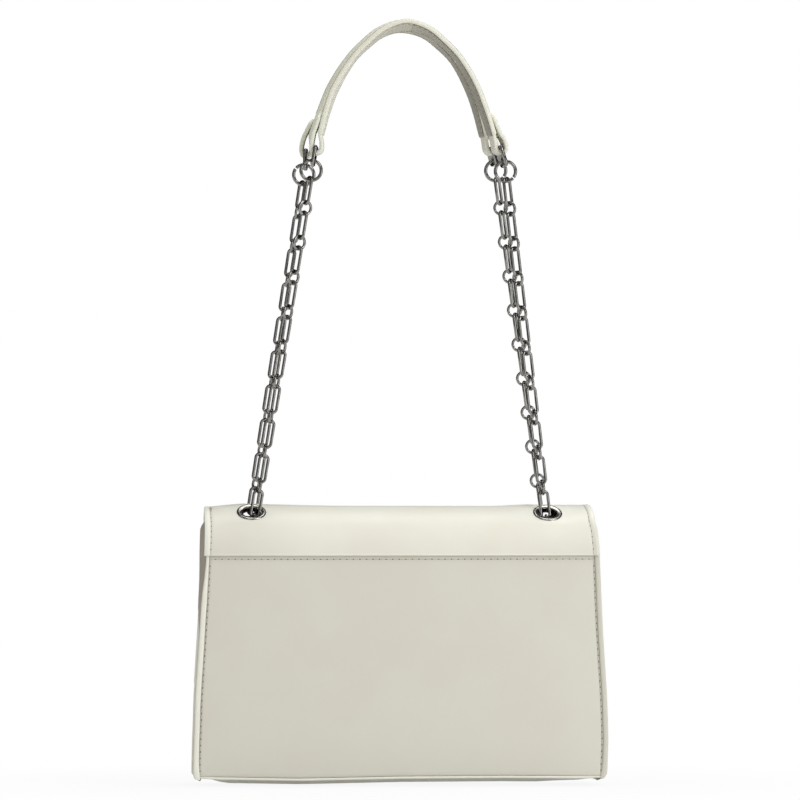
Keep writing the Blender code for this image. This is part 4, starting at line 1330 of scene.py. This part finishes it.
def arch_at(way):
    return Vector((read((ARCH_WAYS, ARCH_X), way), 0, read((ARCH_WAYS, ARCH_Z), way)))


def pad_frame(row, distance):
    """The place at a distance from the top of a pad, and its directions: along, across and out."""
    inside = min(max(distance, -PAD_HALF), PAD_HALF)
    share = inside / PAD_HALF
    step = 0.002
    along = (arch_at(min(inside + step, PAD_HALF)) - arch_at(max(inside - step, -PAD_HALF))).normalized()
    out = Vector((-along.z, 0, along.x))
    place = arch_at(inside) + along * (distance - inside) + out * read(BOW, share) * MM
    roll = math.radians(read(ROLL, share))
    across = Y_AXIS * math.cos(roll) - out * math.sin(roll)
    out = out * math.cos(roll) + Y_AXIS * math.sin(roll)
    least, most = PAD_STAGGER
    stagger = least + (most - least) * ease(0.62, 1.0, abs(share))
    if row > 0:
        place += FAR_END_SHIFT * ease(0.74, 1.0, -share)
    return place + Vector((-row * stagger, row * PAD_Y, 0)), along, across, out


print("top of the near pad:", [round(part, 4) for part in pad_frame(-1, 0.0)[0]])

# %% Sections of a pad


def pad_ring(wide, top, bottom, round_by, crown=0.0, hollow=0.0):
    """Places across and out for one section: a rectangle with round corners, a crown on top and a
    hollow below."""
    ring = []
    flat = wide / 2 - round_by
    for corner, (side, up) in enumerate(((1, 1), (-1, 1), (-1, -1), (1, -1))):
        centre = top - round_by if up > 0 else bottom + round_by
        for step in range(5):
            angle = math.radians(90 * corner + 90 * step / 4)
            ring.append((side * flat + round_by * math.cos(angle), centre + round_by * math.sin(angle)))
        if side == up:
            for step in range(1, 6):
                u = side * flat * (1 - step / 3)
                bulge = 1 - (u / flat) ** 2
                ring.append((u, top + crown * bulge if up > 0 else bottom + hollow * bulge))
    return ring


def along_pad(name, row, distances, ring_at):
    """A body swept along the pad; ring_at gives the section at each distance."""
    stations = []
    for distance in distances:
        place, along, across, out = pad_frame(row, distance)
        stations.append([place + across * u + out * v for u, v in ring_at(distance)])
    return swept(name, stations)


print("points in a section:", len(pad_ring(0.014, 0.0, -0.002, 0.0005)))

# %% Bodies and linings of the pads
PAD_WIDTH = 0.014
PAD_TOP = 0.0009
PAD_UNDER = -0.0021
PAD_CROWN = 0.0003
BODY_END = PAD_HALF - 0.0085
LINING_WIDTH = 0.0128
LINING_TOP = -0.0019
LINING_UNDER = -0.0026
LINING_JOINT = {-1: 0.0032, 1: 0.0088}
LINING_GAP = 0.00015


def close_steps(first, last, count):
    """Distances that lie close together near both ends."""
    ends = (0.0, 0.0002, 0.0005, 0.0009)
    inner = list(np.linspace(first + 0.0025, last - 0.0025, count))
    return [first + end for end in ends] + inner + [last - end for end in reversed(ends)]


def body_ring(distance):
    """The body's section, which is smaller and flatter at its very end."""
    full = ease(0, 0.0009, BODY_END - abs(distance))
    less = 1 - full
    wide, top = PAD_WIDTH - 0.0006 * less, PAD_TOP - 0.0005 * less
    return pad_ring(wide, top, PAD_UNDER, 0.0007 + 0.0004 * full, PAD_CROWN * full)


def lining_ring(first, last):
    def ring(distance):
        less = 1 - ease(0, 0.0007, min(distance - first, last - distance))
        wide, under = LINING_WIDTH - 0.0004 * less, LINING_UNDER + 0.0003 * less
        return pad_ring(wide, LINING_TOP, under, 0.0003, 0.0, 0.0001)
    return ring


def lining_shade(row, left):
    """Painted shade: the lining is darker near the joint, and along its near edge, which the outer leather
    shades.
    """
    def shade(point):
        near = row * PAD_Y - point.y
        line = ease(0.0044, 0.0058, near) * ease(-0.016, -0.004, point.x)
        if left:
            return max(line, 0.62 * ease(-0.045, -0.012, point.x - LINING_JOINT[row]))
        return max(line, ease(0.0015, 0.0058, near) * ease(0.022, 0.040, point.x))
    return shade


for row_name, row in ROWS.items():
    body = along_pad(row_name + "_pad_body", row, close_steps(-BODY_END, BODY_END, 84), body_ring)
    dress(body, "strap", PAD_LEATHER, "pad_leather", row_name + "_pad")
    joint = LINING_JOINT[row]
    for part_name, first, last, material, nodes in (
        ("left", -BODY_END, joint - LINING_GAP, UNDER_LEATHER, [row_name + "_pad_lining"]),
        ("right", joint + LINING_GAP, BODY_END, SHADED_LINING_LEATHER, []),
    ):
        places = close_steps(first, last, 44)
        lining = along_pad(f"{row_name}_pad_lining_{part_name}", row, places, lining_ring(first, last))
        # The right half takes the shaded copy of the lining leather; its "edge" mark paints it paler near the
        # joint, a painted light between the two halves.
        mark(lining, "seam", lining_shade(row, part_name == "left"))
        painted_light = 1 if part_name == "right" else 0
        mark(lining, "edge", lambda point: painted_light * (1 - ease(0.0, 0.018, point.x - joint)))
        dress(lining, "strap", material, "pad_leather", *nodes)
print("last lining:", lining.name, len(lining.data.polygons), "faces")

# %% [markdown]
# At each end the outer leather goes on as a single strap: along the inside, round the bar of the
# loop, and back up the outside, where it ends in a pointed tab that is stitched down. It leaves a
# drop-shaped opening round the bar. The path is given by its distance past the bar and its distance
# out, in millimetres.

# %% Folded ends
FOLD = (
    (-9.4, -0.7), (-8.0, -1.0), (-6.2, -1.7), (-4.2, -2.5), (-2.0, -3.1), (0.0, -3.4), (1.9, -2.8), (3.2, -1.4),
    (3.65, 0.0), (3.2, 1.4), (1.8, 2.6), (-0.5, 3.2), (-3.5, 3.5), (-7.0, 3.4), (-10.5, 3.1), (-14.0, 2.7),
    (-17.5, 2.4), (-20.0, 2.2), (-22.6, 1.7),
)
FOLD_PATH = curve_through([(a * MM, b * MM) for a, b in FOLD], 3)
FOLD_LAST = len(FOLD_PATH) - 1
FOLD_THICK = 0.0025
FOLD_WIDE = 0.0132
FOLD_SHIFT = {-1: -0.0003, 1: 0.0008}
TAB_END = 0.0226


def tab_share(row, side):
    """The tab at the far left end is a little shorter than the others."""
    return 0.83 if row > 0 and side < 0 else 1.0


def fold_strap(name, row, side):
    """The strap thins out at both ends, and its outer run narrows to a point."""
    stations = []
    for index, (past, out_by) in enumerate(FOLD_PATH):
        run, rise = FOLD_PATH[min(index + 1, FOLD_LAST)] - FOLD_PATH[max(index - 1, 0)]
        out_by += FOLD_SHIFT[side] * ease(-0.009, -0.003, past)
        tip, wide, shown = 1.0, FOLD_WIDE, past
        if 2 * index > FOLD_LAST:
            tip = ease(0, 0.005, TAB_END + past)
            wide *= 0.32 + 0.68 * tip ** 0.6
            shown *= tab_share(row, side)
        place, along, across, out = pad_frame(row, side * (PAD_HALF + shown))
        surface = (out * run - along * side * rise) / math.hypot(run, rise)
        thin = min(min(index, FOLD_LAST - index) / 2, 1)
        thick = FOLD_THICK * (0.6 + 0.4 * tip) * (0.6 + 0.4 * thin)
        section = pad_ring(wide, thick / 2, -thick / 2, thick * 0.38)
        stations.append([place + out * out_by + across * u - surface * v for u, v in section])
    return swept(name, stations)


for name, (row, side) in QUARTERS.items():
    dress(fold_strap(name + "_fold", row, side), "strap", PAD_LEATHER, "pad_leather")
print("folded ends:", len(QUARTERS))

# %% [markdown]
# The long stitches of a pad run along both edges of the lining, and show on the outer leather
# too. Each tab has a short row along its edges. The stitches use the same thread, at a finer pitch.
# A line of a pad is given by its face, its places across and out, and its end. The row on a tab is
# given by its distance past the bar and across, and the lift of the tab's face by the distance past
# the bar, in millimetres.

# %% Stitches of the pads
PAD_PITCH = 0.0036
TAB_PITCH = 0.0032
PAD_LINES = (("under", -1, 0.0057, -0.0026, BODY_END - 0.001), ("over", 1, 0.0054, 0.00105, BODY_END - 0.014))
TAB_LINE = (
    (-12.5, 5.0), (-16.0, 4.9), (-19.5, 4.2), (-21.3, 0.0), (-19.5, -4.2), (-16.0, -4.9), (-12.5, -5.0),
)
TAB_LIFT = ((-22.6, -17.5, -14.0, -10.5), (2.5, 3.5, 3.9, 4.3))


def on_pad(row, distance, across_by, out_by):
    place, along, across, out = pad_frame(row, distance)
    return place + across * across_by + out * out_by


def pad_seam(name, row, face, points, pitch=PAD_PITCH):
    """A seam on the outer face (1) or the lining (-1), whose direction is read from the nearest place."""
    reach = PAD_HALF + 0.004
    middles = [pad_frame(row, distance) for distance in np.linspace(-reach, reach, 120)]

    def outward(point):
        return min(middles, key=lambda one: (one[0] - point).length)[3] * face

    return seam(name, points, outward, "strap", "pad_leather", pitch)


stitches = 0
for row_name, row in ROWS.items():
    for edge_name, edge in (("near", -1), ("far", 1)):
        for face_name, face, across_by, out_by, end in PAD_LINES:
            points = [on_pad(row, way, edge * across_by, out_by) for way in np.linspace(-end, end, 90)]
            stitches += pad_seam(f"{row_name}_pad_{edge_name}_{face_name}", row, face, points)
    for side_name, side in SIDES.items():
        tab = []
        for past, across_by in TAB_LINE:
            distance = side * (PAD_HALF + past * tab_share(row, side) * MM)
            tab.append(on_pad(row, distance, across_by * MM, read(TAB_LIFT, past) * MM - LIFT))
        stitches += pad_seam(f"{row_name}_{side_name}_tab", row, 1, tab, TAB_PITCH)
print("stitches on the pads:", stitches)

# %% [markdown]
# ## Loops
# A rectangular loop of thick wire joins each folded end to its jump ring. It is the ring of wire again,
# pulled apart both ways, and follows the roll of the leather that it hangs in.

# %% Hang the loops
LOOP_WIRE = 0.0024
LOOP_REACH = 0.0023
LOOP_DROP = 0.0096
LOOP_SPAN = 0.014
loop = wire_ring("loop_pattern", LOOP_REACH, LOOP_WIRE, LOOP_DROP - LOOP_REACH, LOOP_SPAN, around=24)
for name, (row, side) in QUARTERS.items():
    place, along, across, out = pad_frame(row, side * PAD_HALF)
    hang = TOPS[name] - Z_AXIS * (JUMP_WIRE + LOOP_WIRE) / 2 - place
    up = -hang.normalized()
    bar = square_to(across, up)
    size = Matrix.Scale(hang.length / LOOP_DROP, 4, Z_AXIS)
    matrix = Matrix.Translation(place) @ turned_to(bar, up.cross(bar), up) @ size
    dress(copies(name + "_loop_wire", loop, [matrix]), "strap", CHAIN_METAL, "chain_metal", name + "_loop")
print("loops:", len(QUARTERS))

# %% [markdown]
# ## Inside of the bag
# The last pieces are seen only when the flap is open: the run of chain that joins two grommets inside,
# the two halves of the snap, the lining and the stiffening boards.

# %% Inner chains
INNER_DROP = Z_AXIS * RING_REACH
QUARTER_TURN = Matrix.Rotation(math.pi / 2, 4, "Z")
for side_name in SIDES:
    ends = [FEET[f"{row_name}_{side_name}"] + Z_AXIS * (GRIP + 0.0002) for row_name in ROWS]
    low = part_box(side_name + "_inner_chain")[0].z
    bottom = Vector(((ends[0].x + ends[1].x) / 2, 0, low + RING_WIRE / 2 - 0.004)) + INNER_DROP
    rings_here = [Matrix.Translation(place) @ QUARTER_TURN for place in (*ends, bottom)]
    links_here = []
    for end in ends:
        run = bottom - end + INNER_DROP
        along = run.normalized()
        start = end - INNER_DROP + along * (run.length - LINK_REACH) / 2
        links_here.append(Matrix.Translation(start) @ turned_to(X_AXIS, along.cross(X_AXIS), -along))
    chain = copies(side_name + "_inner_links", link, links_here)
    dress(chain, "bag", CHAIN_METAL, "chain_metal", side_name + "_inner_chain")
    dress(copies(side_name + "_inner_rings", ring, rings_here), "bag", CHAIN_METAL, "chain_metal")
print("inner chains:", len(SIDES))

# %% [markdown]
# The halves of the snap are turned like the grommets, about an axis that points out of the leather:
# a profile gives the radius and the share of the height. The boards are plain cut sheets. The lining
# is a pouch: a box without its lid, that is drawn in a little by soft waves, since cloth is never flat.

# %% Snap, boards and lining
SOCKET_PROFILE = (
    (0.0085, 0.0), (0.0085, 0.4), (0.0079, 0.62), (0.0052, 0.7), (0.0046, 0.5), (0.0041, 0.7), (0.0038, 0.95),
    (0.0030, 1.0),
)
STUD_PROFILE = ((0.0075, 0.0), (0.0075, 0.5), (0.0070, 0.9), (0.0050, 1.0), (0.0030, 0.8))
POUCH_WAVE = 0.0014


def box_piece(name, node):
    """A block with the size and place of one of the frame's nodes."""
    low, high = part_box(node)
    piece = new(bpy.ops.mesh.primitive_cube_add, name, size=1)
    piece.data.transform(Matrix.Translation((low + high) / 2) @ Matrix.Diagonal((*(high - low), 1)))
    return piece


for node, body, way, shares in (
    ("snap_socket", "bag", 1, SOCKET_PROFILE),
    ("snap_stud", "flap", -1, STUD_PROFILE),
):
    low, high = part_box(node)
    profile = [(radius, share * (high.y - low.y)) for radius, share in shares]
    foot = (low + high) / 2
    foot.y = low.y if way > 0 else high.y
    piece = turned(node + "_turned", profile, 40, ring=False)
    piece.data.transform(Matrix.Translation(foot) @ Matrix.Rotation(-way * math.pi / 2, 4, "X"))
    dress(piece, body, SNAP_METAL, "snap_metal", node)
for node in ("back_board", "front_board", "base_board"):
    dress(smooth(blunt(box_piece(node + "_cut", node), 0.0003)), "bag", FIBRE_BOARD, "board", node)
print("snap halves: 2, boards: 3")

# %% Pouch of the lining
pouch = box_piece("lining_pouch", "lining")
low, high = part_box("lining")
edit(pouch)
bpy.ops.mesh.subdivide(number_cuts=23)
close()
edit(pouch, "FACE", lambda face: face.center.z > high.z - 0.00001)
bpy.ops.mesh.delete(type="FACE")
close()
for vertex in pouch.data.vertices:
    x, y, z = vertex.co
    if min(y - low.y, high.y - y) < 0.0001:
        fold = 0.5 + 0.5 * math.sin(48 * x + 31 * z + (1.2 if y > 0 else 0))
        full = ease(0, 0.03, min(x - low.x, high.x - x)) * ease(0, 0.03, z - low.z)
        full *= ease(0, 0.012, high.z - z)
        vertex.co.y -= math.copysign(POUCH_WAVE * fold * full, y)
dress(smooth(thicken(pouch, 0.0006), 60), "bag", LINING_CLOTH, "lining_cloth", "lining")
print("pouch:", len(pouch.data.polygons), "faces")

# %% [markdown]
# ## Camera, light and floor
# The photograph looks along the back of the bag from a little to the left, with a long lens, so that
# the left gusset shows as a thin strip. The light is a broad soft key from the upper right, a weaker
# fill, and a pale room all round. The metal needs something dark to mirror, so the room is darker
# below than above.

# %% Camera
VIEW_AZIMUTH = math.radians(-3.5)
VIEW_DISTANCE = 6.0
VIEW_MIDDLE = Vector((-0.0022, 0.0, -0.2299))
LAMP_AIM = Vector((0, 0, -0.25))


def stand(thing, place, toward):
    """Put a camera or a lamp at its place, and turn it."""
    thing.location = place
    thing.rotation_euler = toward.to_track_quat("-Z", "Y").to_euler()
    bpy.context.scene.collection.objects.link(thing)


toward = Vector((-math.sin(VIEW_AZIMUTH), math.cos(VIEW_AZIMUTH), 0))
camera = bpy.data.objects.new("Camera", bpy.data.cameras.new("Camera"))
camera.data.lens = 430
camera.data.sensor_width = 36
stand(camera, VIEW_MIDDLE - toward * VIEW_DISTANCE, toward)
bpy.context.scene.camera = camera
print("camera", VIEW_DISTANCE, "m away, lens", round(camera.data.lens), "mm")

# %% Light
for name, place, size, power in (
    ("Key", (1.2, -1.4, 0.9), 1.0, 11.7),
    ("Side", (1.2, -0.9, -0.15), 0.7, 4),
    ("Fill", (-1.4, -1.3, 0.3), 1.0, 0.4),
    ("Top", (0.2, 0.3, 1.4), 0.9, 7.5),
):
    lamp = bpy.data.objects.new(name, bpy.data.lights.new(name, "AREA"))
    lamp.data.shape = "DISK"
    lamp.data.size = size
    lamp.data.energy = power
    stand(lamp, place, LAMP_AIM - Vector(place))

world = bpy.data.worlds.new("Room")
bpy.context.scene.world = world
world.use_nodes = True
world.node_tree.nodes.clear()
air = Nodes(world.node_tree)
direction = air.add("ShaderNodeTexCoord", output="Generated")
height = air.add("ShaderNodeSeparateXYZ", inputs={0: direction}, output="Z")
strength = air.stepped(height, -0.15, 0.75, 0.42, 0.85)
room = air.add("ShaderNodeBackground", inputs={"Color": (1.0, 1.0, 0.99, 1.0), "Strength": strength})
backdrop = air.add("ShaderNodeBackground", inputs={"Color": (1.0, 1.0, 1.0, 1.0), "Strength": 1.0})
air.shown(air.white_rays(), room, backdrop, air.tree.nodes.new("ShaderNodeOutputWorld"))
print("lamps:", len(bpy.data.lights))

# %% Floor
FLOOR_Z = BAG_Z - 0.0026
circle = {"vertices": 64, "radius": 40.0, "fill_type": "NGON", "location": (0, 0, FLOOR_Z)}
floor = settle(new(bpy.ops.mesh.primitive_circle_add, "Floor", **circle))
paper = Finish("Floor paper", Base_Color=colour("#DCDCDA"), Roughness=0.9)
ends = {0: paper.place, 1: (BAG_X, 0, BAG_Z)}
away = paper.add("ShaderNodeVectorMath", {"operation": "DISTANCE"}, ends, "Value")
white = paper.white_rays() * (paper.stepped(away, 0.14, 0.42) * 0.10 + 0.90)
plain = Value(paper, paper.shader.outputs[0])
paper.shown(white, plain, paper.add("ShaderNodeEmission"), paper.tree.nodes["Material Output"])
floor.data.materials.append(paper.material)
print("floor at", round(FLOOR_Z, 4))

# %% [markdown]
# ## Dark cards
# Polished metal looks like metal only when it mirrors something dark as well. As in a studio, dark
# cards stand round the bag. Only mirror rays meet them, so they throw no shade and no camera sees them.
# Each is given by its direction from the camera's and by the angle that it fills, in degrees.

# %% Cards
CARD_DISTANCE = 1.9
CARD_TALL = 3.0
DARK_CARD = Finish("Dark card", Base_Color=colour("#1C1C1E"), Roughness=1.0).material
GREY_CARD = Finish("Grey card", Base_Color=colour("#38383A"), Roughness=1.0).material
CARDS = (
    (12, 36, GREY_CARD), (63, 30, GREY_CARD), (97, 38, DARK_CARD), (135, 38, DARK_CARD), (168, 30, DARK_CARD),
    (-42, 36, GREY_CARD), (-91, 38, DARK_CARD), (-129, 38, DARK_CARD), (-163, 32, DARK_CARD),
)


def card(name, width, tall, matrix, material):
    board = new(bpy.ops.mesh.primitive_plane_add, name, size=1)
    board.data.transform(matrix @ Matrix.Diagonal((width, tall, 1, 1)))
    board.data.materials.append(material)
    for ray_kind in ("camera", "diffuse", "transmission", "volume_scatter", "shadow"):
        setattr(board, "visible_" + ray_kind, False)


middle = Matrix.Translation((0, -CARD_DISTANCE, BAG_Z + CARD_TALL / 2))
upright = middle @ Matrix.Rotation(math.pi / 2, 4, "X")
for index, (azimuth, span, material) in enumerate(CARDS):
    turn = Matrix.Rotation(VIEW_AZIMUTH + math.radians(azimuth), 4, "Z")
    wide = 2 * CARD_DISTANCE * math.tan(math.radians(span / 2))
    card(f"Card_{index}", wide, CARD_TALL, turn @ upright, material)
card("Card_above", 2.6, 2.6, Matrix.Translation((0, 0.4, 1.9)), GREY_CARD)
print("cards:", len(CARDS) + 1)

# %% Look
bpy.context.scene.view_settings.view_transform = "Standard"
for pattern in [thing for thing in bpy.data.objects if thing.name.endswith("_pattern")]:
    bpy.data.objects.remove(pattern, do_unlink=True)
